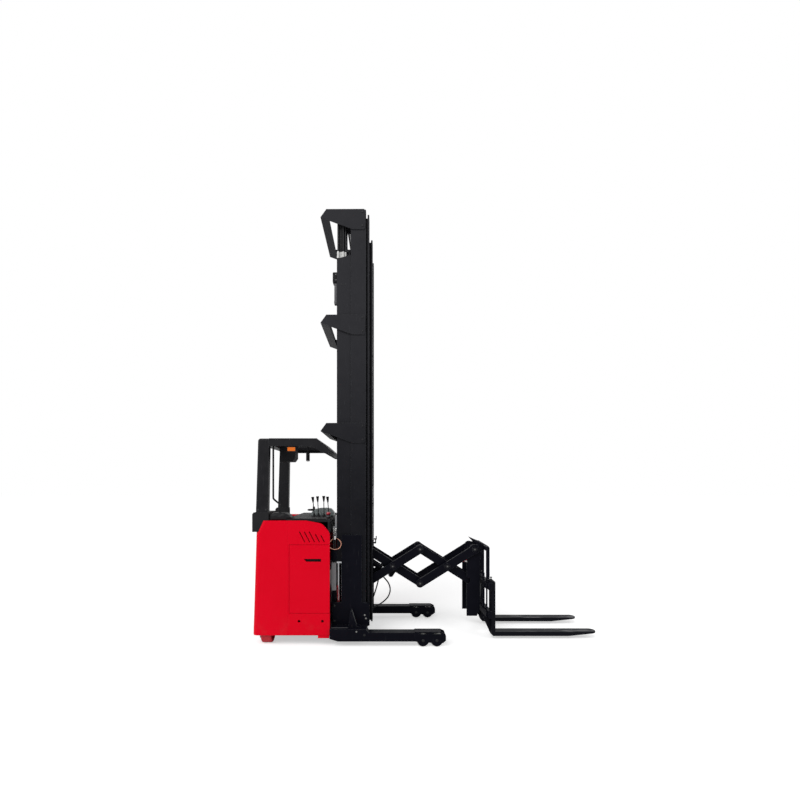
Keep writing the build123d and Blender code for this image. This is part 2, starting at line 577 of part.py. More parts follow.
# Guard roof: side beams, cross beams, bars and the slotted visor
with BuildPart() as guard_roof:
    roof_rear = POST_FRONT
    outline([(roof_rear, ROOF_BOTTOM), (roof_rear, ROOF_TOP), (ROOF_FRONT, ROOF_TOP), VISOR_TIP, VISOR_FOOT,
             (VISOR_FOOT[0] - 40, VISOR_FOOT[1] + 4), (ROOF_FRONT - 60, ROOF_BOTTOM)],
            GUARD_OUTER - 14, GUARD_OUTER)
    outline([(roof_rear, ROOF_TOP - 50), (roof_rear, ROOF_TOP), (ROOF_FRONT, ROOF_TOP),
             (ROOF_FRONT - 10, ROOF_TOP - 50)], GUARD_INNER, GUARD_OUTER - 14)
    mirror(about=Plane.XZ)
    block(POST_REAR + 20, roof_rear + 8, -GUARD_INNER, GUARD_INNER, ROOF_TOP - 70, ROOF_TOP - 2)
    block(roof_rear, roof_rear + 50, -GUARD_INNER, GUARD_INNER, ROOF_TOP - ROOF_PLATE, ROOF_TOP - 2)
    with Locations([(0, y, 0) for y in [(i - (ROOF_BARS - 1) / 2) * 112 for i in range(ROOF_BARS)]]):
        with Locations(((roof_rear + ROOF_FRONT) / 2, 0, ROOF_TOP - 2 - ROOF_PLATE / 2)):
            Box(ROOF_FRONT - roof_rear, 26, ROOF_PLATE)
    block(ROOF_FRONT - 60, ROOF_FRONT - 8, -GUARD_INNER - 2, GUARD_INNER + 2,
          ROOF_TOP - ROOF_PLATE, ROOF_TOP - 2)
    outline([(ROOF_FRONT - 12, ROOF_TOP - 14), (ROOF_FRONT, ROOF_TOP), VISOR_TIP,
             (VISOR_TIP[0] - 12, VISOR_TIP[1] - 14)], 14 - GUARD_OUTER, GUARD_OUTER - 14)
    outline([(VISOR_TIP[0] - 12, VISOR_TIP[1] - 14), VISOR_TIP, VISOR_FOOT,
             (VISOR_FOOT[0] - 12, VISOR_FOOT[1] + 10)], 14 - GUARD_OUTER, GUARD_OUTER - 14)
    visor_slope = Vector(VISOR_TIP[0] - ROOF_FRONT, 0, VISOR_TIP[1] - ROOF_TOP)
    visor_mid = ((VISOR_TIP[0] + ROOF_FRONT) / 2, 0, (VISOR_TIP[1] + ROOF_TOP) / 2)
    visor_plane = Plane(origin=visor_mid, x_dir=visor_slope,
                        z_dir=Vector(-visor_slope.Z, 0, visor_slope.X))
    with BuildSketch(visor_plane.offset(-30)) as visor_slots:
        with GridLocations(0, 112, 1, 8):
            SlotOverall(110, 34)
    extrude(visor_slots.sketch, amount=60, mode=Mode.SUBTRACT)
save(guard_roof, "guard_roof")

# Amber marker lamp under the near beam, work lamp and control box under the roof
with BuildPart() as marker_lamp:
    block(-1537, -1451, -GUARD_OUTER + 3, -GUARD_OUTER + 43, ROOF_BOTTOM - 54, ROOF_BOTTOM - 11)
    fillet(marker_lamp.edges().filter_by(Axis.Y), 6)
save(marker_lamp, "marker_lamp")

with BuildPart() as roof_fittings:
    roof_under = ROOF_TOP - ROOF_PLATE - 2
    box_rear = POST_FRONT + 8
    outline([(box_rear, roof_under), (box_rear, 2040), (box_rear + 18, 2020), (-1574, 2020),
             (-1544, 2060), (-1544, roof_under)], -90, 90)
    block(-1560, -1430, 14 - GUARD_OUTER, 50 - GUARD_OUTER, ROOF_BOTTOM - 11, ROOF_BOTTOM + 34)
    upright((-1408, 0), 8, 2130, roof_under)
    upright((-1408, 0), 22, 2029, 2140)
save(roof_fittings, "roof_fittings")

# Grab bar from the roof down to the arm rest
with BuildPart() as grab_bar:
    grab_y = -GUARD_INNER + 20
    with BuildLine() as grab_path:
        FilletPolyline((-1712, grab_y, ROOF_TOP - 50), (-1712, grab_y, 1590), (-1640, grab_y, 1530),
                       (-1640, grab_y, 1434), radius=30)
    with BuildSketch(Plane(origin=grab_path.line @ 0, z_dir=grab_path.line % 0)) as grab_section:
        Circle(10)
    sweep(grab_section.sketch, path=grab_path.line)
save(grab_bar, "grab_bar")


def stage_rail(stage, foot, top, flange):
    """One upright of a mast stage: a web with a flange at its rear and front edge."""
    rear, front, web_inner, web_outer, flange_inner, flange_outer = stage
    block(rear, front, web_inner, web_outer, foot, top)
    block(rear, rear + flange, flange_inner, flange_outer, foot, top)
    block(front - flange, front, flange_inner, flange_outer, foot, top)


def stage_roller(rear, front, y_low, y_high, z):
    """A guide roller on a rail, running between the flanges of the next stage out."""
    cross_shaft(((rear + front) / 2, z), (front - rear) / 2 - SEAT, y_low, y_high)


# Fixed outer stage on the base box
with BuildPart() as outer_stage:
    stage_rail(OUTER_STAGE, MAST_FOOT, OUTER_TOP, OUTER_FLANGE)
    mirror(about=Plane.XZ)
save(outer_stage, "outer_stage")

# Three rear cross members of folded plate, each with two side plates
with BuildPart() as mast_brackets:
    web_outer = OUTER_STAGE[3]
    for foot in BRACKET_FEET:
        nose = (-1195, foot + 130)
        shoulder = (-1130, foot + 220)
        kink = (-840, foot)
        outline([nose, shoulder, (-712, foot + 222), (-700, foot + 210), (-700, foot + 12), (-712, foot), kink],
                web_outer, web_outer + BRACKET_PLATE)
        low = (nose[0] + 101, nose[1] - 37)
        outline([nose, shoulder, (shoulder[0] + 12, shoulder[1]), (nose[0] + 14, nose[1] - 1),
                 (low[0], low[1] + 9), low], 0, web_outer)
    mirror(about=Plane.XZ)
save(mast_brackets, "mast_brackets")

# Side plates at the mast's foot, with an outer rib on each leg's root
with BuildPart() as mast_base:
    web_outer = OUTER_STAGE[3]
    outline([(LEG_REAR + 14, BASE_TOP), (LEG_REAR + 14, 445), (-960, 445), (-960, 1190), (-735, 1190),
             (-735, 445), (-650, 430), (-650, BASE_TOP + 10), (BASE_FRONT, BASE_TOP)],
            web_outer, web_outer + 12)
    outline([(-856, 374), (-876, LEG_ROOT_TOP), (-740, LEG_ROOT_TOP), (-791, 210), (-846, 374)],
            web_outer + 12, LEG_INNER + 60)
    outline([(LEG_REAR, BASE_TOP), (LEG_REAR, LEG_ROOT_TOP), (BASE_FRONT, LEG_ROOT_TOP), (BASE_FRONT, BASE_TOP)],
            web_outer + 12, LEG_INNER)
    mirror(about=Plane.XZ)
save(mast_base, "mast_base")

# Lift cylinder barrels behind the rails, and the rods that carry the middle stage
with BuildPart() as lift_barrels:
    upright(LIFT_CYLINDER_AT, LIFT_BARREL_RADIUS, BASE_TOP, LIFT_BARREL_TOP)
    upright(LIFT_CYLINDER_AT, LIFT_ROD_RADIUS + SEAT, BASE_TOP + 60, LIFT_BARREL_TOP + 1, mode=Mode.SUBTRACT)
    mirror(about=Plane.XZ)
save(lift_barrels, "lift_barrels")

with BuildPart() as lift_rods:
    upright(LIFT_CYLINDER_AT, LIFT_ROD_RADIUS, BASE_TOP + 62, MIDDLE_TOP - 90)
    upright(LIFT_CYLINDER_AT, 14, MIDDLE_TOP - 90, MIDDLE_TOP - 60)
    mirror(about=Plane.XZ)
save(lift_rods, "lift_rods")

# Sheet covers round the lift cylinders, open to the rail, with a slanted top
with BuildPart() as mast_covers:
    cover_outer = OUTER_STAGE[3] - 9
    cover_inner = 262
    block(COVER_REAR, OUTER_STAGE[0], cover_inner, cover_outer, COVER_FOOT, COVER_TOP + 45)
    block(COVER_REAR + COVER_SHEET, OUTER_STAGE[0] + 1, cover_inner + COVER_SHEET,
          cover_outer - COVER_SHEET, COVER_FOOT - 1, COVER_TOP + 46, mode=Mode.SUBTRACT)
    outline([(COVER_REAR - 1, COVER_TOP), (COVER_REAR - 1, COVER_TOP + 60), (OUTER_STAGE[0] + 1, COVER_TOP + 60),
             (OUTER_STAGE[0] + 1, COVER_TOP + 45)], cover_inner - 1, cover_outer + 1, mode=Mode.SUBTRACT)
    mirror(about=Plane.XZ)
save(mast_covers, "mast_covers")

# Hydraulic tank, accumulator tube, pipe and valve block between the body and the mast
with BuildPart() as hydraulic_unit:
    block(BODY_FRONT + 2, -1024, -390, -240, 568, 877)
    block(BODY_FRONT + 2, -1030, -350, -280, BASE_TOP, 568)
    block(COVER_REAR - 45, COVER_REAR, -385, -300, 1155, 1278)
    block(COVER_REAR - 20, COVER_REAR, -385, -290, 1278, 1398)
save(hydraulic_unit, "hydraulic_unit")

with BuildPart() as accumulator:
    upright((-1000, -350), 18, BASE_TOP, 868)
    upright((-962, -350), 8, BASE_TOP, 868)
    block(-1018, -954, -368, -332, 868, COVER_FOOT)
save(accumulator, "accumulator")

# Hoses at the mast head, from the cover up and over to the cross member
HOSE_RADIUS = 9
HOSE_X = (-994, -970, -946)
with BuildPart() as mast_hoses:
    for index, x in enumerate(HOSE_X):
        y = -352 - 9 * index
        upright((x, y), 12, COVER_TOP + 5, COVER_TOP + 85)
        upright((x, y), HOSE_RADIUS, COVER_TOP - 60, BRACKET_FEET[0] + 160)
    block(COVER_REAR + COVER_SHEET, -936, -385, -345, COVER_TOP - 60, COVER_TOP - 40)
    block(COVER_REAR + COVER_SHEET, -936, -OUTER_STAGE[3], -345, BRACKET_FEET[0] + 150, BRACKET_FEET[0] + 170)
save(mast_hoses, "mast_hoses")

# Middle stage: two rails with their guide rollers
MIDDLE_CROSS = (220, 2450, MIDDLE_TOP - 130)
with BuildPart() as middle_stage:
    rear = MIDDLE_STAGE[0]
    stage_rail(MIDDLE_STAGE, STAGE_FOOT, MIDDLE_TOP, INNER_FLANGE)
    for z in (STAGE_FOOT + 70, STAGE_FOOT + 560):
        stage_roller(rear + INNER_FLANGE, OUTER_STAGE[1] - OUTER_FLANGE, MIDDLE_STAGE[3],
                     OUTER_STAGE[2] - SEAT, z)
    mirror(about=Plane.XZ)
save(middle_stage, "middle_stage")

# Cross members of the middle stage, bowed round the free lift cylinder, and the rod brackets
with BuildPart() as middle_crossbars:
    rear = MIDDLE_STAGE[0]
    for z in MIDDLE_CROSS:
        block(rear - 22, rear, 238, MIDDLE_STAGE[3], z, z + 110)
        block(-905, rear - 21, 238, 250, z, z + 110)
        block(-905, -887, 0, 250, z, z + 110)
    block(LIFT_CYLINDER_AT[0] - 36, rear, 238, LIFT_CYLINDER_AT[1] + 18, MIDDLE_TOP - 60, MIDDLE_TOP - 42)
    mirror(about=Plane.XZ)
save(middle_crossbars, "middle_crossbars")

# Inner stage: two rails with their guide rollers
INNER_CROSS = (230, 2150, INNER_TOP - 130)
with BuildPart() as inner_stage:
    rear = INNER_STAGE[0]
    stage_rail(INNER_STAGE, STAGE_FOOT, INNER_TOP, INNER_FLANGE)
    for z in (STAGE_FOOT + 70, STAGE_FOOT + 560):
        stage_roller(rear + INNER_FLANGE, MIDDLE_STAGE[1] - INNER_FLANGE, INNER_STAGE[3],
                     MIDDLE_STAGE[2] - SEAT, z)
    mirror(about=Plane.XZ)
save(inner_stage, "inner_stage")

# Cross members of the inner stage; the lower two hold the free lift cylinder
with BuildPart() as inner_crossbars:
    rear = INNER_STAGE[0]
    for z in INNER_CROSS:
        block(rear - INNER_FLANGE, rear, 0, INNER_STAGE[3], z, z + 110)
    for z in INNER_CROSS[:2]:
        block(FREE_LIFT_X, rear - INNER_FLANGE, 0, 24, z, z + 60)
    mirror(about=Plane.XZ)
    upright((FREE_LIFT_X, 0), FREE_LIFT_RADIUS, INNER_CROSS[0] - 20, INNER_CROSS[1] + 200, mode=Mode.SUBTRACT)
save(inner_crossbars, "inner_crossbars")

# Free lift cylinder in the middle of the inner stage
with BuildPart() as free_lift_barrel:
    upright((FREE_LIFT_X, 0), FREE_LIFT_RADIUS, INNER_CROSS[0], FREE_LIFT_TOP)
    upright((FREE_LIFT_X, 0), FREE_LIFT_ROD + SEAT, INNER_CROSS[0] + 40, FREE_LIFT_TOP + 1, mode=Mode.SUBTRACT)
save(free_lift_barrel, "free_lift_barrel")

with BuildPart() as free_lift_rod:
    upright((FREE_LIFT_X, 0), FREE_LIFT_ROD, INNER_CROSS[0] + 42, FREE_LIFT_TOP + 40)
    block(FREE_LIFT_X - 22, FREE_LIFT_X + 22, -75, 75, FREE_LIFT_TOP + 40, FREE_LIFT_TOP + 90)
    for side in (-1, 1):
        cross_shaft((FREE_LIFT_X, FREE_LIFT_TOP + 65), 32, side * 66 - 10, side * 66 + 10)
save(free_lift_rod, "free_lift_rod")

# Carriage: outer plates with mast rollers, inner plates with the roller guides, pins
with BuildPart() as carriage:
    plate_in, plate_out = CARRIAGE_PLATE
    guide_in, guide_out = GUIDE_PLATE
    block(CARRIAGE_REAR, CARRIAGE_FRONT, plate_in, plate_out, CARRIAGE_FOOT, CARRIAGE_TOP)
    block(CARRIAGE_REAR, S1[0] + GUIDE_ROLLER + SEAT + 14, guide_in, guide_out, CARRIAGE_FOOT, CARRIAGE_TOP)
    for flange_x in (S1[0] - GUIDE_ROLLER - SEAT - 14, S1[0] + GUIDE_ROLLER + SEAT):
        block(flange_x, flange_x + 14, guide_out - 1, OUTER_ARM[0] - CLEAR, CARRIAGE_FOOT + 8, S1[1] + 90)
    for z_low, z_high in ((CARRIAGE_FOOT, 300), (620, 720), (990, CARRIAGE_TOP)):
        block(CARRIAGE_REAR, CARRIAGE_REAR + 10, 0, plate_out, z_low, z_high)
    for z in (300, 640, 980):
        stage_roller(INNER_STAGE[0] + INNER_FLANGE, INNER_STAGE[1] - INNER_FLANGE, plate_out,
                     INNER_STAGE[2] - SEAT, z)
    block(-660, -582, 150, plate_out, CARRIAGE_TOP - 1, CARRIAGE_TOP + 12)
    block(-594, -582, 150, plate_out, CARRIAGE_TOP - 1, CARRIAGE_TOP + 40)
    cross_shaft(P1, PIVOT_RADIUS + 5, 0, guide_in + 1)
    foot_ear = (CYLINDER_Y - 29, CYLINDER_Y + 22)
    for ear in foot_ear:
        outline([(CARRIAGE_REAR, CYLINDER_FOOT[1] - 16), (CARRIAGE_REAR, CYLINDER_FOOT[1] + 110),
                 (CYLINDER_FOOT[0] + 12, CYLINDER_FOOT[1] + 16), (CYLINDER_FOOT[0] + 12, CYLINDER_FOOT[1] - 16)],
                ear, ear + 7)
    block(CARRIAGE_REAR, CARRIAGE_REAR + 10, foot_ear[0], foot_ear[1] + 7, CYLINDER_FOOT[1] - 16, 1000)
    cross_shaft(CYLINDER_FOOT, LUG_PIN_RADIUS, foot_ear[0], foot_ear[1] + 7)
    mirror(about=Plane.XZ)
save(carriage, "carriage")


def arm(start, end, arm_y, big_end=None):
    """One side bar of a scissor arm, with its round ends."""
    slot_bar(start, end, ARM_DEPTH / 2, arm_y[0], arm_y[1])
    if big_end:
        cross_shaft(big_end, HEAD_RADIUS, arm_y[0], arm_y[1])


def bore(at, radius=PIVOT_RADIUS):
    cross_shaft(at, radius + RUN, -OUTER_ARM[1] - 20, OUTER_ARM[1] + 20, mode=Mode.SUBTRACT)


# Rear inner arm: hung on the carriage, with the lug for the reach cylinders
with BuildPart() as arm_rear_inner:
    arm(P1, MID_LOWER, INNER_ARM)
    for along, below, radius in ((130, 0, 24), (LUG_ALONG + 10, 14, 28), (640, 0, 24)):
        cross_shaft(on_falling_arm(P1, along, below), radius, 0, INNER_ARM[0])
    for lug_y in (CYLINDER_Y - ROD_RADIUS - 10, CYLINDER_Y + ROD_RADIUS + 2):
        slot_bar(on_falling_arm(P1, LUG_ALONG + 10, 14), LUG_PIN, 26, lug_y, lug_y + 8)
    cross_shaft(LUG_PIN, LUG_PIN_RADIUS, CYLINDER_Y - ROD_RADIUS - 10, CYLINDER_Y + ROD_RADIUS + 10)
    mirror(about=Plane.XZ)
    bore(P1, PIVOT_RADIUS + 5)
    bore(CROSS_REAR)
    bore(MID_LOWER)
save(arm_rear_inner, "arm_rear_inner")

# Rear outer arm: two bars on two shafts, with rollers at the lower rear ends
with BuildPart() as arm_rear_outer:
    arm(S1, MID_UPPER, OUTER_ARM)
    for shaft in (CROSS_REAR, MID_UPPER):
        cross_shaft(shaft, PIVOT_RADIUS, 0, OUTER_ARM[1] + 2)
        cross_shaft(shaft, 34, OUTER_ARM[1], OUTER_ARM[1] + 2)
        cross_shaft(shaft, COLLAR_RADIUS, INNER_ARM[1] + SEAT, OUTER_ARM[0])
    cross_shaft(S1, 14, GUIDE_PLATE[1] + 2, OUTER_ARM[0])
    cross_shaft(S1, GUIDE_ROLLER, GUIDE_PLATE[1] + 2, OUTER_ARM[0] - 6)
    mirror(about=Plane.XZ)
save(arm_rear_outer, "arm_rear_outer")

# Front inner arm: from the upper middle joint down to the rollers in the front frame
with BuildPart() as arm_front_inner:
    arm(MID_UPPER, S2, INNER_ARM)
    for along in (150, 600):
        cross_shaft(on_falling_arm(MID_UPPER, along), 24, 0, INNER_ARM[0])
    cross_shaft(S2, 14, INNER_ARM[1], FRAME_PLATE[0] - 2)
    cross_shaft(S2, GUIDE_ROLLER, INNER_ARM[1] + 6, FRAME_PLATE[0] - 2)
    mirror(about=Plane.XZ)
    bore(MID_UPPER)
    bore(CROSS_FRONT)
save(arm_front_inner, "arm_front_inner")

# Front outer arm: from the lower middle joint up to the large heads on the front frame
with BuildPart() as arm_front_outer:
    arm(MID_LOWER, P2, OUTER_ARM, big_end=P2)
    for shaft in (MID_LOWER, CROSS_FRONT):
        cross_shaft(shaft, PIVOT_RADIUS, 0, OUTER_ARM[1] + 4)
        cross_shaft(shaft, 34, OUTER_ARM[1], OUTER_ARM[1] + 4)
        cross_shaft(shaft, COLLAR_RADIUS, INNER_ARM[1] + SEAT, OUTER_ARM[0])
    mirror(about=Plane.XZ)
    cross_shaft(P2, PIVOT_RADIUS + 5 + RUN, -250, 250, mode=Mode.SUBTRACT)
save(arm_front_outer, "arm_front_outer")

# Reach cylinders: a pair of barrels joined by a port block, and their rods
barrel_angle = math.atan2(LUG_PIN[1] - CYLINDER_FOOT[1], LUG_PIN[0] - CYLINDER_FOOT[0])
cylinder_reach = math.hypot(LUG_PIN[0] - CYLINDER_FOOT[0], LUG_PIN[1] - CYLINDER_FOOT[1])


def cylinder_plane(along, y):
    """A plane square to the reach cylinder, some way along it."""
    direction = (math.cos(barrel_angle), 0, math.sin(barrel_angle))
    origin = (CYLINDER_FOOT[0] + along * direction[0], y, CYLINDER_FOOT[1] + along * direction[2])
    return Plane(origin=origin, x_dir=(0, 1, 0), z_dir=direction)


def cylinder_length(start, end, radius, mode=Mode.ADD):
    with BuildSketch(cylinder_plane(start, CYLINDER_Y)) as profile:
        Circle(radius)
    extrude(profile.sketch, amount=end - start, mode=mode)


port_centre = cylinder_plane(BARREL_LENGTH - 24, 0).origin
PORT = (port_centre.X + 4, port_centre.Z - 26)
with BuildPart() as reach_barrels:
    cylinder_length(12, 32, 15)
    cylinder_length(30, BARREL_LENGTH, BARREL_RADIUS)
    cylinder_length(BARREL_LENGTH - 26, BARREL_LENGTH, BARREL_RADIUS + 4)
    cross_shaft(CYLINDER_FOOT, 22, CYLINDER_Y - 20, CYLINDER_Y + 20)
    block(PORT[0] - 22, PORT[0] + 12, 0, CYLINDER_Y - 16, PORT[1], PORT[1] + 50)
    mirror(about=Plane.XZ)
    for side in (-1, 1):
        with BuildSketch(cylinder_plane(60, side * CYLINDER_Y)) as rod_bore:
            Circle(ROD_RADIUS + SEAT)
        extrude(rod_bore.sketch, amount=BARREL_LENGTH, mode=Mode.SUBTRACT)
    cross_shaft(CYLINDER_FOOT, LUG_PIN_RADIUS + RUN, -90, 90, mode=Mode.SUBTRACT)
save(reach_barrels, "reach_barrels")

with BuildPart() as reach_rods:
    cylinder_length(135, cylinder_reach - ROD_EYE_RADIUS + 4, ROD_RADIUS)
    cross_shaft(LUG_PIN, ROD_EYE_RADIUS, CYLINDER_Y - 8, CYLINDER_Y + 8)
    cross_shaft(LUG_PIN, ROD_EYE_BORE, CYLINDER_Y - 30, CYLINDER_Y + 30, mode=Mode.SUBTRACT)
    mirror(about=Plane.XZ)
save(reach_rods, "reach_rods")

# Front frame: side plates with roller guides, cross members and the stub pins
with BuildPart() as front_frame:
    plate_in, plate_out = FRAME_PLATE
    outline([(FRAME_REAR, FRAME_FOOT), (FRAME_REAR, FRAME_SHOULDER - 30), (FRAME_REAR + 30, FRAME_SHOULDER),
             (P2[0] - 60, P2[1] + 20), (P2[0] - 30, P2[1] + 52), (P2[0] + 40, P2[1] + 52),
             (TILT_HINGE[0] + 3, TILT_HINGE[1] + 28), (TILT_HINGE[0] + 24, TILT_HINGE[1] + 10),
             (TILT_HINGE[0] + 24, TILT_HINGE[1] - 10), (TILT_HINGE[0], TILT_HINGE[1] - 30),
             (FRAME_FRONT, TILT_HINGE[1] - 100), (FRAME_FRONT, FRAME_FOOT + 79), (FRAME_FRONT - 36, FRAME_FOOT)],
            plate_in, plate_out)
    folded = math.radians(RETRACTED_ANGLE)
    shaft_home = (P2[0] - ARM_LENGTH / 2 * math.cos(folded), P2[1] - ARM_LENGTH / 2 * math.sin(folded))
    slot_bar(shaft_home, (shaft_home[0] - 90, shaft_home[1] + 22), COLLAR_RADIUS + CLEAR + 1,
             plate_in - 1, plate_out + 1, mode=Mode.SUBTRACT)
    for flange_x in (S2[0] - GUIDE_ROLLER - SEAT - 14, S2[0] + GUIDE_ROLLER + SEAT):
        block(flange_x, flange_x + 14, INNER_ARM[1] + CLEAR, plate_in + 1, FRAME_FOOT + 35, S2[1] + 90)
    for z_low, z_high in ((FRAME_FOOT + 81, 340), (480, 550), (650, 712)):
        block(FRAME_FRONT - 13, FRAME_FRONT, 0, plate_in + 1, z_low, z_high)
    cross_shaft(P2, PIVOT_RADIUS + 5, plate_in, OUTER_ARM[1] + 6)
    cross_shaft(P2, 36, OUTER_ARM[1] + SEAT, OUTER_ARM[1] + 8)
    cross_shaft(TILT_HINGE, 14, TILT_PLATE[0], plate_out + 4)
    mirror(about=Plane.XZ)
save(front_frame, "front_frame")

# Tilt frame: two shaped side plates, a backing plate and two slide rails
with BuildPart() as tilt_frame:
    plate_in, plate_out = TILT_PLATE
    outline([(TILT_HINGE[0] - 110, TILT_HINGE[1] + 148), (TILT_FRONT, TILT_HINGE[1] + 88),
             (TILT_FRONT, LOWER_BAR[0] + 6), (TILT_FRONT - 22, LOWER_BAR[0] + 6), (TILT_FRONT - 22, 730),
             (TILT_HINGE[0] - 35, 787), (TILT_HINGE[0] - 37, TILT_HINGE[1] + 70)], plate_in, plate_out)
    for z_low, z_high in ((LOWER_BAR[0] + 6, LOWER_BAR[1] - 14), (UPPER_BAR[0] + 6, UPPER_BAR[1] - 14),
                          (TILT_HINGE[1] + 36, TILT_HINGE[1] + 84)):
        block(TILT_FRONT - 22, TILT_FRONT, 0, RAIL_HALF, z_low, z_high)
    mirror(about=Plane.XZ)
    cross_shaft(TILT_HINGE, 14 + RUN, -200, 200, mode=Mode.SUBTRACT)
save(tilt_frame, "tilt_frame")

# Side shift carriage: two bars, uprights stepped over the fork hooks, and a head bar
with BuildPart() as side_shift:
    shift_rear = TILT_FRONT + SEAT
    hook_front = TILT_FRONT + 14
    head_top = TILT_HINGE[1] + 86
    for z_low, z_high in (LOWER_BAR, UPPER_BAR):
        block(shift_rear, SHIFT_FRONT, 0, SHIFT_HALF, z_low, z_high)
    outline([(shift_rear, LOWER_BAR[0]), (shift_rear, head_top), (SHIFT_FRONT - 13, head_top - 9),
             (SHIFT_FRONT, head_top - 26),
             (SHIFT_FRONT, SHANK_TOP + 7), (hook_front, SHANK_TOP + 7), (hook_front, UPPER_BAR[0]),
             (hook_front, LOWER_BAR[0])], UPRIGHT[0], UPRIGHT[1])
    block(shift_rear, hook_front, 0, UPRIGHT[1], head_top - 46, head_top)
    block(TILT_FRONT - 34, shift_rear + 2, TILT_PLATE[1] + SHIFT_TRAVEL + CLEAR, UPRIGHT[1],
          UPPER_BAR[1] - 14 + SEAT, UPPER_BAR[1] - 1)
    mirror(about=Plane.XZ)
save(side_shift, "side_shift")

# Forks: tapered blade with a rounded tip, shank, upper hook and lower gusset
for side, side_name in ((-1, "right"), (1, "left")):
    with BuildPart() as fork:
        y_low = side * FORK_Y - FORK_WIDTH / 2
        y_high = y_low + FORK_WIDTH
        shank_rear = SHIFT_FRONT + SEAT
        gusset_rear = SHIFT_FRONT - 79
        blade_top = FORK_BOTTOM + FORK_THICK
        outline([(shank_rear, FORK_BOTTOM + 19), (shank_rear + 20, FORK_BOTTOM), (FORK_TIP - 321, FORK_BOTTOM),
                 (FORK_TIP, blade_top - 14), (FORK_TIP, blade_top), (shank_rear + SHANK_THICK, blade_top),
                 (shank_rear + SHANK_THICK, SHANK_TOP - 12), (shank_rear + SHANK_THICK - 12, SHANK_TOP),
                 (hook_front + 6, SHANK_TOP), (hook_front + 6, UPPER_BAR[1] + SEAT),
                 (shank_rear, UPPER_BAR[1] + SEAT)], y_low, y_high)
        with BuildSketch(Plane.XY.offset(FORK_BOTTOM - 1)) as tip:
            with Locations((FORK_TIP - FORK_WIDTH / 2, side * FORK_Y)):
                Rectangle(FORK_WIDTH, FORK_WIDTH + 2, align=(Align.MIN, Align.CENTER))
                Circle(FORK_WIDTH / 2, mode=Mode.SUBTRACT)
        extrude(tip.sketch, amount=FORK_THICK + 2, mode=Mode.SUBTRACT)
        outline([(gusset_rear, LOWER_BAR[0] - 17), (gusset_rear, LOWER_BAR[0] - SEAT), (shank_rear + 2, LOWER_BAR[0] - SEAT),
                 (shank_rear + 2, FORK_BOTTOM + 10), (shank_rear, FORK_BOTTOM + 19)],
                side * FORK_Y - 10, side * FORK_Y + 10)
    save(fork, f"fork_{side_name}")

# Reach hoses: a loop and a straighter one, from the carriage to the port block of the cylinders
REACH_HOSE_RADIUS = 8
HOSE_PLATE = CARRIAGE_REAR + 10
REACH_HOSE_POINTS = {
    "reach_hose_loop": [
        (HOSE_PLATE, -9.5, 240), (-712, -9.5, 240), (-640, -9.5, 262), (-562, -9.5, 296),
        (-488, -9.5, 345), (-432, -9.5, 408), (-412, -9.5, 482), (-430, -9.5, 556),
        (-476, -9.5, 616), (PORT[0] - 2, -9.5, PORT[1] - 56), (PORT[0] - 2, -9.5, PORT[1]),
    ],
    "reach_hose_short": [
        (HOSE_PLATE, 9.5, 284), (-722, 9.5, 284), (-664, 9.5, 312), (-622, 9.5, 378),
        (-594, 9.5, 460), (-566, 9.5, 548), (PORT[0] - 10, 9.5, PORT[1] - 90), (PORT[0] - 10, 9.5, PORT[1]),
    ],
}


def hose_radii(points):
    """Bend radii for each corner: 0.45 of the shorter run over the tangent of half the turn."""
    radii = []
    for before, at, after in zip(points, points[1:], points[2:]):
        run_in = Vector(*at) - Vector(*before)
        run_out = Vector(*after) - Vector(*at)
        half_turn = math.radians(run_in.get_angle(run_out) / 2)
        radii.append(0.45 * min(run_in.length, run_out.length) / math.tan(half_turn))
    return radii


for hose_name, hose_points in REACH_HOSE_POINTS.items():
    radii = hose_radii(hose_points)
    print(hose_name, "bend radii", [round(radius) for radius in radii])
    with BuildPart() as reach_hose:
        with BuildLine() as hose_path:
            FilletPolyline(*hose_points, radius=radii)
        with BuildSketch(Plane(origin=hose_path.line @ 0, z_dir=hose_path.line % 0)) as hose_section:
            Circle(REACH_HOSE_RADIUS)
        sweep(hose_section.sketch, path=hose_path.line)
    print(hose_name, "length", round(sum(edge.length for edge in hose_path.line.edges())))
    save(reach_hose, hose_name)
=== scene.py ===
import math

import bmesh
import bpy
from mathutils import Matrix, Vector


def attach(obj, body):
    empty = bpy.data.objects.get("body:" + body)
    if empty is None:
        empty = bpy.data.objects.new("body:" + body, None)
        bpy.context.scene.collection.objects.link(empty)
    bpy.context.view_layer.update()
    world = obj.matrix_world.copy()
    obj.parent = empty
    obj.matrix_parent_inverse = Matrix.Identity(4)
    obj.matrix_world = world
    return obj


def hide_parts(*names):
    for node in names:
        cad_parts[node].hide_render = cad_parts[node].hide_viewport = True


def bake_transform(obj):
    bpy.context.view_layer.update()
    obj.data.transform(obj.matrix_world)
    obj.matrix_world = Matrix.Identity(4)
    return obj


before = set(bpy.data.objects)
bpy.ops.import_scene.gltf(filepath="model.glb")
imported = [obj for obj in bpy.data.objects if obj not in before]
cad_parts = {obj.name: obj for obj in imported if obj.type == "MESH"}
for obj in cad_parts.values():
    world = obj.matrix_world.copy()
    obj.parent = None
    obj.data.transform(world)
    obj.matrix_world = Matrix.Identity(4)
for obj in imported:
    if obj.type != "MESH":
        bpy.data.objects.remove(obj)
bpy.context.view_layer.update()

# The camera stands level at the near side of the truck, about five metres from its middle. Its wide
# lens is shifted so that the truck sits a little left of and below the middle of the picture.
camera_data = bpy.data.cameras.new("camera")
camera_data.sensor_width = 36
camera_data.lens = 19.04
camera_data.shift_x = 0.01875
camera_data.shift_y = 0.10625
camera = bpy.data.objects.new("camera", camera_data)
camera.location = (-0.479, -5.1, 1.742)
camera.rotation_euler = (math.radians(90), 0, 0)
bpy.context.collection.objects.link(camera)
bpy.context.scene.camera = camera
bpy.context.scene.view_settings.view_transform = "Standard"


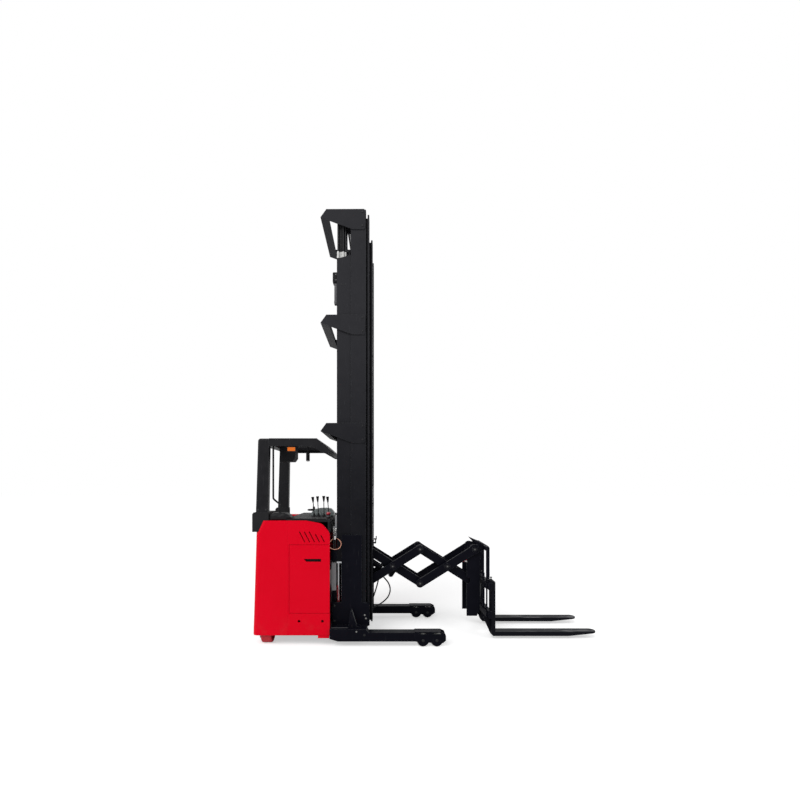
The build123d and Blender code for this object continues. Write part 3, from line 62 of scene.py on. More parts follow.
# Reach hoses: two rubber hydraulic hoses from the carriage to the port block between the reach
# cylinders. Each is one tube along a smooth curve, crimped into a steel fitting at both ends.
class Socket:
    """A shader socket that sums, differences and products can be written with."""

    def __init__(self, tree, output):
        self.tree = tree
        self.output = output

    def node(self, kind, sockets=None, out=0, **settings):
        """Add a node of this type, set it up, join its sockets, and give back one of its outputs."""
        made = self.tree.nodes.new(kind)
        for key, value in settings.items():
            setattr(made, key, value)
        for key, value in (sockets or {}).items():
            if isinstance(value, Socket):
                self.tree.links.new(value.output, made.inputs[key])
            else:
                made.inputs[key].default_value = value
        return Socket(self.tree, made.outputs[out])

    def maths(self, operation, first, second):
        """A Math node on two values."""
        return self.node("ShaderNodeMath", {0: first, 1: second}, operation=operation)

    def __add__(self, other):
        return self.maths("ADD", self, other)

    __radd__ = __add__

    def __sub__(self, other):
        return self.maths("SUBTRACT", self, other)

    def __rsub__(self, other):
        return self.maths("SUBTRACT", other, self)

    def __mul__(self, other):
        return self.maths("MULTIPLY", self, other)

    __rmul__ = __mul__

    def axis(self, letter):
        """The X, Y or Z of this vector."""
        return self.node("ShaderNodeSeparateXYZ", {0: self}, out=letter)

    def over(self, low, high):
        """0 below low and 1 above high, smooth between."""
        return self.node("ShaderNodeMapRange", {"Value": self, "From Min": low, "From Max": high},
                         interpolation_type="SMOOTHSTEP")

    def tint(self, low, high):
        """Mix two colours by this value. The node's colours are its inputs 6 and 7 and its output 2."""
        sockets = {0: self}
        for place, colour in ((6, low), (7, high)):
            sockets[place] = colour if isinstance(colour, Socket) else (*colour, 1)
        return self.node("ShaderNodeMix", sockets, out=2, data_type="RGBA", clamp_factor=True)


def new_finish(name, **constants):
    """A material with its constant values, the place on the piece as a vector, and its shader."""
    finish = bpy.data.materials.new(name)
    finish.use_nodes = True
    tree = finish.node_tree
    shader = tree.nodes["Principled BSDF"]
    for key, value in constants.items():
        shader.inputs[key.replace("_", " ")].default_value = value
    place = tree.nodes.new("ShaderNodeTexCoord")
    return finish, Socket(tree, place.outputs["Object"]), shader


def feed(shader, **values):
    """Join what varies over the surface to the shader's sockets."""
    for key, value in values.items():
        value.tree.links.new(value.output, shader.inputs[key.replace("_", " ")])


def grain(place, scale, detail=3.0, stretch=(1, 1, 1), rough=0.5):
    """Cloudy noise over the piece, stretched by a Mapping node."""
    mapped = place.node("ShaderNodeMapping", {"Vector": place, "Scale": stretch})
    return place.node("ShaderNodeTexNoise",
                      {"Vector": mapped, "Scale": scale, "Detail": detail, "Roughness": rough})


def relief(place, height, strength, distance, edge=None):
    """A bump from a height, laid over softened edges where an edge radius is given."""
    sockets = {"Height": height, "Strength": strength, "Distance": distance}
    if edge:
        sockets["Normal"] = place.node("ShaderNodeBevel", {"Radius": edge}, samples=4)
    return place.node("ShaderNodeBump", sockets)


def route_spline(name, points, thickness=0.0):
    """The mesh of a smooth spline through a route's points, thick or as a bare line."""
    curve = bpy.data.curves.new(name, "CURVE")
    curve.dimensions = "3D"
    curve.resolution_u = 24
    curve.bevel_depth = thickness / 2
    curve.bevel_resolution = 5
    curve.use_fill_caps = bool(thickness)
    spline = curve.splines.new("NURBS")
    spline.points.add(len(points) - 1)
    for point, at in zip(spline.points, points):
        point.co = (*at, 1)
    spline.order_u = 3
    spline.use_endpoint_u = True
    holder = bpy.data.objects.new(name, curve)
    bpy.context.collection.objects.link(holder)
    bpy.context.view_layer.update()
    mesh = bpy.data.meshes.new_from_object(holder.evaluated_get(bpy.context.evaluated_depsgraph_get()))
    bpy.data.objects.remove(holder)
    return mesh


hose_rubber, place, shader = new_finish("hose_rubber", Specular_IOR_Level=0.25)
lay = grain(place, 260, 2)
feed(shader, Base_Color=grain(place, 40).tint((0.012, 0.012, 0.013), (0.03, 0.03, 0.032)),
     Roughness=lay * 0.2 + 0.45, Normal=relief(place, lay, 0.25, 0.0006))

HOSE_DIAMETER = 0.016
HOSE_Y = 0.0095
FOOT_X = -0.773
LOOP_FOOT_Z = 0.240
SHORT_FOOT_Z = 0.284
LOOP_PORT_X = -0.54197
SHORT_PORT_X = -0.54997
PORT_Z = 0.73661
REACH_HOSES = {
    "reach_hose_loop": (0.764, (
        (FOOT_X, -HOSE_Y, LOOP_FOOT_Z), (-0.712, -HOSE_Y, LOOP_FOOT_Z), (-0.640, -HOSE_Y, 0.262),
        (-0.562, -HOSE_Y, 0.296), (-0.488, -HOSE_Y, 0.345), (-0.432, -HOSE_Y, 0.408),
        (-0.412, -HOSE_Y, 0.482), (-0.430, -HOSE_Y, 0.556), (-0.476, -HOSE_Y, 0.616),
        (LOOP_PORT_X, -HOSE_Y, PORT_Z - 0.056), (LOOP_PORT_X, -HOSE_Y, PORT_Z))),
    "reach_hose_short": (0.567, (
        (FOOT_X, HOSE_Y, SHORT_FOOT_Z), (-0.722, HOSE_Y, SHORT_FOOT_Z), (-0.664, 0.018, 0.312),
        (-0.622, 0.034, 0.378), (-0.594, 0.044, 0.460), (-0.568, 0.047, 0.548),
        (SHORT_PORT_X, 0.042, PORT_Z - 0.095), (SHORT_PORT_X, HOSE_Y, PORT_Z - 0.036),
        (SHORT_PORT_X, HOSE_Y, PORT_Z))),
}
for name, (length, points) in REACH_HOSES.items():
    line = route_spline(name + "_line", points)
    tube = route_spline(name, points, HOSE_DIAMETER)
    tube.shade_smooth()
    hose = bpy.data.objects.new(name + "_tube", tube)
    bpy.context.collection.objects.link(hose)
    tube.materials.append(hose_rubber)
    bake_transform(hose)
    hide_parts(name)


# Body shell: pressed steel side panels and the battery door, sprayed in bright red enamel. The paint
# has a faint orange peel and holds some dust near the floor.
def dress(finish, *nodes):
    """Give CAD nodes their finish, in every one of their slots."""
    for node in nodes:
        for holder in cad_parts[node].material_slots:
            holder.material = finish


red_enamel, place, shader = new_finish("red_enamel", Specular_IOR_Level=0.06)
peel = grain(place, 220, 2)
cloud = grain(place, 2.2, 3)
dust = (1 - place.axis("Z").over(0.10, 0.42)) * grain(place, 14, 5).over(0.42, 0.75)
paint = cloud.tint((0.70, 0.0004, 0.012), (0.79, 0.0008, 0.018))
feed(shader, Base_Color=(dust * 0.12).tint(paint, (0.42, 0.06, 0.06)),
     Roughness=peel * 0.08 + cloud * 0.1 + 0.2 + dust * 0.3,
     Normal=relief(place, peel, 0.06, 0.0008, edge=0.004))
dress(red_enamel, "side_panel_near", "side_panel_far", "drive_housing", "battery_door")


# Backs of the vents: black sheet fixed inside the skin, a painted shade that makes the slots look into a
# dark recess. The door's hand slot has a moulded pocket for the fingers.
def settle(name, mesh, finish, body):
    """Link a finished mesh as a piece that rides on a CAD body."""
    piece = bpy.data.objects.new(name, mesh)
    bpy.context.collection.objects.link(piece)
    mesh.materials.append(finish)
    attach(piece, body)
    return piece


def make_piece(name, shape, finish, body, smooth=35):
    """Turn a bmesh into a piece: doubles merged, faces outwards, edges sharper than smooth degrees kept."""
    bmesh.ops.remove_doubles(shape, verts=shape.verts, dist=1e-6)
    bmesh.ops.recalc_face_normals(shape, faces=shape.faces)
    mesh = bpy.data.meshes.new(name)
    shape.to_mesh(mesh)
    shape.free()
    mesh.shade_smooth()
    mesh.set_sharp_from_angle(angle=math.radians(smooth))
    return settle(name, mesh, finish, body)


def soften(shape, edges, width, segments=2):
    """Round the given edges off."""
    bmesh.ops.bevel(shape, geom=edges, offset=width, segments=segments, profile=0.5,
                    affect="EDGES", material=-1)


def add_plate(shape, corner, opposite, edge, segments=2):
    """A plate or bar between two opposite corners, with its edges softened."""
    corner = Vector(corner)
    opposite = Vector(opposite)
    size = [abs(length) for length in opposite - corner]
    stand = Matrix.Translation((corner + opposite) / 2) @ Matrix.Diagonal((*size, 1))
    made = bmesh.ops.create_cube(shape, size=1, matrix=stand)
    soften(shape, list(dict.fromkeys(e for v in made["verts"] for e in v.link_edges)), edge, segments)


def add_round(shape, at, axis, radius, length, edge=0.0, sides=24):
    """A round bar from a point along an axis, its two rims softened."""
    way = Vector(axis).normalized()
    turn = way.to_track_quat("Z", "Y").to_matrix().to_4x4()
    stand = Matrix.Translation(Vector(at) + way * length / 2) @ turn
    made = bmesh.ops.create_cone(shape, cap_ends=True, segments=sides, radius1=radius, radius2=radius,
                                 depth=length, matrix=stand)
    if edge:
        around = dict.fromkeys(e for v in made["verts"] for e in v.link_edges)
        rims = [e for e in around if abs((e.verts[0].co - e.verts[1].co).normalized().dot(way)) < 0.5]
        soften(shape, rims, edge)


black_moulding, place, shader = new_finish("black_moulding", Specular_IOR_Level=0.1)
pips = grain(place, 420, 2)
feed(shader, Base_Color=grain(place, 6, 4).tint((0.008, 0.008, 0.009), (0.02, 0.02, 0.022)),
     Roughness=pips * 0.25 + 0.45, Normal=relief(place, pips, 0.2, 0.0004, edge=0.002))

SKIN_INSIDE = 0.5035
SHADE_SHEET_THICKNESS = 0.004
# Painted shade: a black sheet behind each row of vents, standing in for the shade inside the body.
shade_backing = bmesh.new()
for side in (-1, 1):
    add_plate(shade_backing, (-1.42, side * SKIN_INSIDE, 1.115),
              (-1.11, side * (SKIN_INSIDE - SHADE_SHEET_THICKNESS), 1.245), 0.001)
make_piece("vent_shade_sheet", shade_backing, black_moulding, "truck")
pocket = bmesh.new()
add_plate(pocket, (-1.362, -0.5045, 0.903), (-1.162, -0.478, 0.951), 0.004)
make_piece("door_pocket", pocket, black_moulding, "door")


# Black sheet steel: mast, legs, scissor, guard and chassis, welded up and sprayed satin black. The
# paint rubs through to grey along its edges, a grey that is partly wear and partly painted highlight,
# carries fine scratches, and has painted light that makes it paler high on the mast.
def black_enamel(name, dark, pale, roughness, sheen, painted_height_light=0.0):
    """Worn black paint between two shades, its pale edges partly wear and partly painted highlight. The last
    argument is how much of the shade goes by the height: painted light, paler higher up.
    """
    finish, place, shader = new_finish(name, Specular_IOR_Level=sheen)
    peel = grain(place, 180, 2)
    cloud = grain(place, 9, 5, rough=0.6)
    soft = place.node("ShaderNodeBevel", {"Radius": 0.005}, samples=4)
    true = place.node("ShaderNodeNewGeometry", out="Normal")
    fold = 1 - place.node("ShaderNodeVectorMath", {0: soft, 1: true}, out="Value", operation="DOT_PRODUCT")
    # Edges pale to grey: partly paint worn through, partly a painted edge highlight.
    wear_and_edge_highlight = fold.over(0.015, 0.16) * grain(place, 60, 4).over(0.35, 0.65) * 0.5
    scratch = grain(place, 90, 2, stretch=(1, 1, 0.06)).over(0.66, 0.72) * 0.25
    # Painted light: the paint grows paler with height, by the share given.
    high = place.axis("Z").over(0.9, 3.8) * painted_height_light
    base = (cloud * (1 - painted_height_light) + high).tint(dark, pale)
    feed(shader, Base_Color=(wear_and_edge_highlight + scratch * 0.3).tint(base, (0.16, 0.165, 0.175)),
         Roughness=roughness - 0.08 + cloud * 0.16 + wear_and_edge_highlight * 0.1,
         Normal=relief(place, peel, 0.08, 0.0006, edge=0.003))
    return finish


mast_enamel = black_enamel("mast_enamel", (0.0020, 0.0021, 0.0042), (0.0300, 0.0300, 0.0340),
                           roughness=0.42, sheen=0.07, painted_height_light=0.7)
frame_enamel = black_enamel("frame_enamel", (0.0018, 0.0019, 0.0042), (0.0050, 0.0052, 0.0095),
                            roughness=0.46, sheen=0.05)
# The guard's black paint is the same enamel made paler: painted highlight standing in for the light on its
# posts, roof and grab bar.
guard_painted_light_enamel = black_enamel("guard_painted_light_enamel", (0.0030, 0.0031, 0.0046), (0.0180, 0.0176, 0.0196),
                            roughness=0.4, sheen=0.12)
dress(mast_enamel, "outer_stage", "middle_stage", "middle_crossbars", "inner_stage", "inner_crossbars",
      "mast_brackets", "mast_covers", "lift_barrels", "free_lift_barrel")
dress(frame_enamel, "base_frame", "mast_base", "legs", "front_bulkhead", "operator_floor", "carriage",
      "front_frame", "tilt_frame", "side_shift", "arm_rear_inner", "arm_rear_outer", "arm_front_inner",
      "arm_front_outer", "reach_barrels")
dress(guard_painted_light_enamel, "guard_posts", "guard_roof", "grab_bar")


# Bright steel: hard chromed piston rods and accumulator, turned and polished, and the plain steel of
# castings, yokes and hubs, which keeps a dull oiled surface.
def mottled(name, scale, detail, colours, roughness, **constants):
    """A finish whose colour and roughness both run between two values with one cloudy noise."""
    finish, place, shader = new_finish(name, **constants)
    film = grain(place, scale, detail)
    low, high = roughness
    feed(shader, Base_Color=film.tint(*colours), Roughness=film * (high - low) + low)
    return finish


rod_chrome = mottled("rod_chrome", 30, 4, ((0.50, 0.51, 0.53), (0.66, 0.67, 0.69)), (0.08, 0.20), Metallic=1)
plain_steel, place, shader = new_finish("plain_steel", Metallic=1)
cloud = grain(place, 35, 5)
feed(shader, Base_Color=cloud.tint((0.16, 0.16, 0.165), (0.34, 0.34, 0.35)), Roughness=cloud * 0.25 + 0.3,
     Normal=relief(place, grain(place, 380, 2), 0.15, 0.0005, edge=0.0015))
dress(rod_chrome, "lift_rods", "free_lift_rod", "reach_rods", "accumulator")
dress(plain_steel, "drive_unit", "caster_yoke")


# Wheels: polyurethane tyres cast onto their hubs, crimson on the drive and caster wheels and pale on
# the load wheels. The treads are scuffed where they roll.
def tread(name, scale, start, share, fresh, scuffed):
    """Tyre tread that is scuffed where the noise is above a start, by a share."""
    finish, place, shader = new_finish(name)
    scuff = grain(place, scale, 5).over(start, 0.8)
    feed(shader, Base_Color=(scuff * share).tint(fresh, scuffed), Roughness=scuff * 0.2 + 0.42,
         Normal=relief(place, grain(place, 150, 3), 0.2, 0.0006))
    return finish


dress(tread("red_tread", 70, 0.45, 0.35, (0.52, 0.006, 0.020), (0.50, 0.09, 0.09)),
      "drive_wheel", "caster_wheel")
dress(tread("pale_tread", 90, 0.40, 0.40, (0.78, 0.77, 0.74), (0.45, 0.44, 0.42)),
      "load_wheel_right_rear", "load_wheel_right_front", "load_wheel_left_rear", "load_wheel_left_front")

# Forks: forged steel bars sprayed black, with the paint worn to bare metal on the blades' top faces
# and round their tips, where pallets rub.
fork_paint, place, shader = new_finish("fork_paint", Specular_IOR_Level=0.08)
facing_up = place.node("ShaderNodeNewGeometry", out="Normal").axis("Z").over(0.6, 0.95)
streak = grain(place, 30, 5, stretch=(0.12, 1, 1)).over(0.5, 0.62)
bare = facing_up * streak * place.axis("X").over(0.75, 1.5) * 0.8
feed(shader, Base_Color=bare.tint((0.0035, 0.0037, 0.0065), (0.10, 0.10, 0.108)), Metallic=bare,
     Roughness=0.5 - bare * 0.15, Normal=relief(place, grain(place, 160, 2), 0.1, 0.0006, edge=0.003))
dress(fork_paint, "fork_left", "fork_right")


# Painted casings and mouldings: the hydraulic unit in pale grey, the battery's case in dark grey, and
# the console, levers, rear corners and lamp housings moulded in black plastic.
def grey_enamel(name, dark, pale):
    """Grey paint with some grime on it, between two shades."""
    finish, place, shader = new_finish(name, Coat_Weight=0.1)
    cloud = grain(place, 7, 5)
    grime = grain(place, 26, 6).over(0.52, 0.8)
    feed(shader, Base_Color=(grime * 0.4).tint(cloud.tint(dark, pale), (0.06, 0.058, 0.055)),
         Roughness=cloud * 0.15 + 0.36 + grime * 0.1,
         Normal=relief(place, grain(place, 200, 2), 0.08, 0.0006, edge=0.003))
    return finish


dress(grey_enamel("unit_grey", (0.22, 0.225, 0.235), (0.29, 0.295, 0.305)), "hydraulic_unit")
dress(grey_enamel("battery_grey", (0.020, 0.021, 0.023), (0.034, 0.035, 0.038)), "battery_block")
dress(black_moulding, "console", "control_levers", "rear_casings", "roof_fittings", "steering_wheel",
      "armrest")
dress(hose_rubber, "mast_hoses")

# Marker lamp: an amber moulded lens, ribbed inside, over a bright reflector.
# It is clipped into the side rail of the guard's roof.
amber_lens, place, shader = new_finish("amber_lens", Specular_IOR_Level=0.2, Coat_Weight=0.15)
rib = place.node("ShaderNodeTexWave", {"Vector": place, "Scale": 60.0, "Distortion": 0.3}, out=1,
                 wave_type="BANDS", bands_direction="X")
feed(shader, Base_Color=rib.tint((0.62, 0.10, 0.002), (0.88, 0.22, 0.012)),
     Roughness=rib * 0.1 + 0.16, Normal=relief(place, rib, 0.3, 0.001, edge=0.003))
dress(amber_lens, "marker_lamp")

# Fasteners of the mast: plated and black hexagon bolts with washers on the mast base and leg roots,
# black socket screws on the brackets, and low round screws on the covers.
zinc_plate = mottled("zinc_plate", 120, 4, ((0.22, 0.22, 0.215), (0.36, 0.36, 0.35)), (0.22, 0.42),
                     Metallic=1)
black_screw = mottled("black_screw", 150, 3, ((0.006, 0.006, 0.007), (0.03, 0.03, 0.032)), (0.35, 0.55),
                      Metallic=0.6)


def add_bolt(shape, at, axis, across):
    """A hexagon head of a width across its flats, on its washer, facing along the axis."""
    way = Vector(axis).normalized()
    add_round(shape, at, axis, across * 0.85, across * 0.12, across * 0.03)
    add_round(shape, Vector(at) + way * across * 0.11, axis, across * 0.577, across * 0.6, across * 0.05, 6)


BASE_FACE = 0.412
LEG_FACE = 0.555
BRACKET_FACE = 0.410
COVER_FACE = 0.391
BRACKET_FEET = (4.581, 3.411, 2.210)
SOCKET_HEAD = 0.0045
# Columns: x, distance of the seat from the truck's middle, z, width across the flats.
PLATED_BOLTS = ((-0.690, BASE_FACE, 0.263, 0.012), (-0.704, BASE_FACE, 0.300, 0.012),
                (-0.786, LEG_FACE, 0.165, 0.011))
BLACK_BOLTS = ((-1.040, BASE_FACE, 0.235, 0.016), (-1.040, BASE_FACE, 0.405, 0.016),
               (-0.700, LEG_FACE, 0.130, 0.016))
# Columns: x, z, radius.
COVER_SCREWS = ((-0.965, 3.975, 0.0065), (-0.943, 3.975, 0.0065), (-0.921, 3.975, 0.0065),
                (-0.985, 1.02, 0.005), (-0.985, 1.60, 0.005), (-0.985, 2.70, 0.005), (-0.985, 3.15, 0.005))
plated = bmesh.new()
dark = bmesh.new()
for side in (-1, 1):
    out = (0, side, 0)
    for shape, bolts in ((plated, PLATED_BOLTS), (dark, BLACK_BOLTS)):
        for x, face, z, across in bolts:
            add_bolt(shape, (x, side * face, z), out, across)
    for foot in BRACKET_FEET:
        for z in (foot + 0.036, foot + 0.188):
            add_round(dark, (-0.728, side * BRACKET_FACE, z), out, 0.010, SOCKET_HEAD, 0.001)
            add_round(dark, (-0.728, side * (BRACKET_FACE + SOCKET_HEAD), z), out, 0.0045, 0.0012, sides=6)
    for x, z, radius in COVER_SCREWS:
        add_round(dark, (x, side * COVER_FACE, z), out, radius, 0.002, 0.0006)
make_piece("mast_bolts", plated, zinc_plate, "truck")
make_piece("mast_screws", dark, black_screw, "truck")

# Welds of the mast: short stitches along each cover's seam to its rail, painted over, and pale beads
# where the base meets the legs and up each foot's rib, part bare weld seam and part painted highlight
# on those lit edges. The stitches skip the brackets.
seam_and_highlight_bead, place, shader = new_finish("seam_and_highlight_bead", Metallic=0.3)
ripple = grain(place, 190, 3)
feed(shader, Base_Color=ripple.tint((0.05, 0.051, 0.055), (0.17, 0.173, 0.18)),
     Roughness=ripple * 0.2 + 0.4, Normal=relief(place, ripple, 0.4, 0.0008))
STITCHES = 28
STITCH_PITCH = 0.119
LOWEST_STITCH = 0.94
BEAD_SIZE = (0.0035, 0.0035, 0.016)
beads = bmesh.new()
seams_and_highlights = bmesh.new()
for side in (-1, 1):
    for step in range(STITCHES):
        z = LOWEST_STITCH + step * STITCH_PITCH
        if not any(foot - 0.03 < z < foot + 0.25 for foot in BRACKET_FEET):
            stand = Matrix.Translation((-0.8585, side * 0.3925, z)) @ Matrix.Diagonal((*BEAD_SIZE, 1))
            bmesh.ops.create_uvsphere(beads, u_segments=10, v_segments=6, radius=1, matrix=stand)
    # Pale beads at the foot: the seam along the leg's top is partly a bare weld and partly painted
    # highlight; the bead up the rib is a painted highlight on its lit edge.
    add_plate(seams_and_highlights, (-1.070, side * 0.503, 0.1885), (-0.884, side * 0.509, 0.1945), 0.0028)
    foot = Vector((-0.7905, side * 0.4585, 0.2115))
    run = Vector((-0.8445, side * 0.4585, 0.3735)) - foot
    add_round(seams_and_highlights, foot, run, 0.004, run.length, 0.001, 12)
make_piece("mast_welds", beads, mast_enamel, "truck")
make_piece("foot_seams_and_highlights", seams_and_highlights, seam_and_highlight_bead, "truck")


# Mast head: five rubber hoses come up out of the near cover through turned white nylon sleeves, with a
# thin black sheet behind them, painted shade that keeps the gaps between them dark. The last two hoses
# and the sheet are made here, and the cover carries them.
def add_turned(shape, at, axis, profile, steps=28):
    """A turned piece: a profile of radius and height pairs, spun round the axis."""
    before = set(shape.verts)
    points = [shape.verts.new((radius, 0, height)) for radius, height in profile]
    edges = [shape.edges.new(pair) for pair in zip(points, points[1:])]
    bmesh.ops.spin(shape, geom=points + edges, cent=(0, 0, 0), axis=(0, 0, 1), angle=math.tau,
                   steps=steps, use_merge=True)
    stand = Matrix.Translation(at) @ Vector(axis).to_track_quat("Z", "Y").to_matrix().to_4x4()
    bmesh.ops.transform(shape, matrix=stand, verts=[v for v in shape.verts if v not in before])


white_nylon = mottled("white_nylon", 80, 3, ((0.62, 0.62, 0.60), (0.78, 0.78, 0.77)), (0.35, 0.50))
SLEEVE_FOOT = 4.272
SLEEVES = ((-0.994, -0.352), (-0.970, -0.361), (-0.946, -0.370), (-0.922, -0.356), (-1.002, -0.378))
SLEEVE_PROFILE = ((0.0095, 0), (0.0125, 0), (0.0135, 0.006), (0.0135, 0.024), (0.0122, 0.028),
                  (0.0122, 0.050), (0.0132, 0.054), (0.0128, 0.072), (0.0098, 0.076))
sleeves = bmesh.new()
for x, y in SLEEVES:
    add_turned(sleeves, (x, y, SLEEVE_FOOT), (0, 0, 1), SLEEVE_PROFILE, 20)
make_piece("hose_sleeves", sleeves, white_nylon, "truck")
hoses = bmesh.new()
for x, y in SLEEVES[-2:]:
    add_round(hoses, (x, y, 4.21), (0, 0, 1), 0.009, 0.535, 0.001, 18)
make_piece("mast_hose_pair", hoses, hose_rubber, "truck")
# Painted shade: a thin black sheet behind the hoses, standing in for the shade between them.
hose_shade_sheet = bmesh.new()
add_plate(hose_shade_sheet, (-1.008, -0.3425, 4.300), (-0.925, -0.3405, 4.760), 0.0006)
make_piece("mast_hose_shade", hose_shade_sheet, frame_enamel, "truck")

# Terminal box: a moulded black box with its lid, screwed to the back of the near cover below the mast
# head, and the grey cable trunk that comes up to it, held by two straps.
box_grey = grey_enamel("box_grey", (0.055, 0.054, 0.060), (0.085, 0.083, 0.090))
COVER_BACK = -1.0145
box = bmesh.new()
add_plate(box, (-1.062, -0.378, 4.003), (COVER_BACK, -0.300, 4.118), 0.006, 3)
add_plate(box, (-1.064, -0.372, 4.012), (-1.060, -0.306, 4.109), 0.002)
make_piece("terminal_box", box, black_moulding, "truck")
trunk = bmesh.new()
add_plate(trunk, (-1.047, -0.366, 3.766), (COVER_BACK, -0.318, 4.002), 0.004, 3)
for z in (3.79, 3.98):
    add_plate(trunk, (-1.049, -0.368, z - 0.006), (COVER_BACK, -0.316, z + 0.006), 0.001)
make_piece("cable_trunk", trunk, box_grey, "truck")
screws = bmesh.new()
for z in (4.030, 4.092):
    add_round(screws, (-1.026, -0.378, z), (0, -1, 0), 0.004, 0.0015, 0.0004, 16)
make_piece("terminal_screws", screws, zinc_plate, "truck")

# Signal cable: pale grey, up the front edge of the near inner rail in small moulded clips. It is not
# quite straight between the clips.
pale_cable = mottled("pale_cable", 160, 3, ((0.34, 0.34, 0.35), (0.50, 0.50, 0.51)), (0.35, 0.55))
CABLE_RADIUS = 0.0036
CABLE_PITCH = 0.034
cable = bmesh.new()
route = [Vector((-0.6150 + 0.0015 * math.sin(step * 1.3), -0.285, 1.10 + step * CABLE_PITCH))
         for step in range(20)]
for low, high in zip(route, route[1:]):
    add_round(cable, low, high - low, CABLE_RADIUS, (high - low).length + 0.0006, sides=12)
make_piece("mast_cable", cable, pale_cable, "inner_mast", smooth=60)
clips = bmesh.new()
for z in (1.11, 1.32, 1.53, 1.74):
    add_plate(clips, (-0.6202, -0.293, z - 0.006), (-0.6100, -0.277, z + 0.006), 0.0015)
make_piece("mast_cable_clips", clips, black_moulding, "inner_mast")

# Power pack between the body and the mast: turned plated fittings on the valve block, two rubber feed
# hoses down from it, and thin black sheets behind that close the gap, a painted shade standing in for
# the shade inside the truck.
feeds = bmesh.new()
for x in (-1.052, -1.034):
    add_round(feeds, (x, -0.384, 0.876), (0, 0, 1), 0.007, 0.300, 0.0008, 16)
make_piece("feed_hoses", feeds, hose_rubber, "truck")
fittings = bmesh.new()
for z, end in ((1.252, 0.042), (1.231, 0.036), (1.208, 0.030)):
    add_turned(fittings, (-1.058, -0.398, z), (1, 0, 0), (
        (0.0001, 0), (0.006, 0), (0.006, 0.006), (0.0092, 0.006), (0.0092, 0.018), (0.0068, 0.019),
        (0.0068, 0.028), (0.0088, 0.029), (0.0088, end), (0.0001, end)), 6)
    add_round(fittings, (-1.040, -0.384, z), (0, -1, 0), 0.0065, 0.014, 0.001, 16)
add_plate(fittings, (-1.050, -0.416, 1.186), (-1.038, -0.384, 1.262), 0.003)
make_piece("valve_fittings", fittings, zinc_plate, "truck")
# Painted shade: black sheets behind the hoses and the valve block, standing in for the shade inside the
# truck so that no background shows through.
shade_sheets = bmesh.new()
for corner, opposite, edge in (
        ((-1.024, -0.2400, 0.30), (-0.932, -0.2370, 0.890), 0.0008),
        ((-1.0745, -0.3520, 0.180), (-1.0290, -0.3503, 0.567), 0.0005),
        ((-1.0298, -0.3520, 0.180), (-1.0282, -0.2800, 0.567), 0.0005),
        ((-1.0745, -0.4040, 0.893), (-1.0120, -0.4005, 1.022), 0.0008)):
    add_plate(shade_sheets, corner, opposite, edge)
make_piece("window_shade_sheet", shade_sheets, frame_enamel, "truck")

# Connector: a white nylon block pushed onto the valve block, ribbed for the grip, with its orange wire
# in one loose loop that goes back into the block.
plug = bmesh.new()
add_plate(plug, (-1.043, -0.440, 1.140), (-1.021, -0.420, 1.178), 0.003, 3)
add_plate(plug, (-1.041, -0.421, 1.150), (-1.023, -0.384, 1.170), 0.002)
for z in (1.150, 1.159, 1.168):
    add_plate(plug, (-1.0445, -0.4385, z - 0.0016), (-1.0195, -0.4215, z + 0.0016), 0.0008)
make_piece("white_connector", plug, white_nylon, "truck")
orange_wire = mottled("orange_wire", 220, 2, ((0.90, 0.36, 0.22), (0.95, 0.52, 0.38)), (0.28, 0.43),
                      Coat_Weight=0.3)
WIRE_DIAMETER = 0.007
WIRE_LOOP = ((-1.058, -0.385, 1.146), (-1.064, -0.410, 1.140), (-1.090, -0.430, 1.116),
             (-1.100, -0.431, 1.070), (-1.070, -0.431, 1.036), (-1.020, -0.431, 1.028),
             (-0.972, -0.431, 1.050), (-0.960, -0.431, 1.098), (-0.980, -0.428, 1.132),
             (-1.002, -0.412, 1.146), (-1.016, -0.393, 1.148))
line = route_spline("wire_loop_line", WIRE_LOOP)
tube = route_spline("wire_loop", WIRE_LOOP, WIRE_DIAMETER)
tube.shade_smooth()
loop = settle("wire_loop", tube, orange_wire, "truck")

# Motor wires: three red wires down the front of the hydraulic unit, each with one slight bend, held
# together by two black ties.
red_wire = mottled("red_wire", 240, 2, ((0.34, 0.012, 0.02), (0.50, 0.03, 0.04)), (0.32, 0.47))
wires = bmesh.new()
for index, x in enumerate((-1.0185, -1.0125, -1.0065)):
    foot = Vector((x, -0.3715, 0.30))
    bend = Vector((x + 0.010 + 0.006 * index, -0.3720, 0.470))
    head = Vector((x + 0.002, -0.3715, 0.62))
    for low, high in ((foot, bend), (bend, head)):
        add_round(wires, low, high - low, 0.0026, (high - low).length + 0.001, 0.0004, 10)
make_piece("red_wires", wires, red_wire, "truck", smooth=60)
ties = bmesh.new()
for z in (0.335, 0.585):
    add_plate(ties, (-1.0225, -0.3755, z - 0.003), (-0.998, -0.3670, z + 0.003), 0.001)
make_piece("wire_ties", ties, black_moulding, "truck")

# Scissor pins: the black turned heads of the pivot pins on both sides of the arms, each with a flush
# grease nipple in a dished middle and a flat screw on either side that keeps it from turning.
PIN_HEAD = ((0.0200, 0), (0.0200, 0.0012), (0.0190, 0.0020), (0.0070, 0.0020), (0.0062, 0.0012))
NIPPLE = ((0.0050, 0), (0.0050, 0.0012), (0.0036, 0.0018), (0.0014, 0.0018), (0.0001, 0.0010))
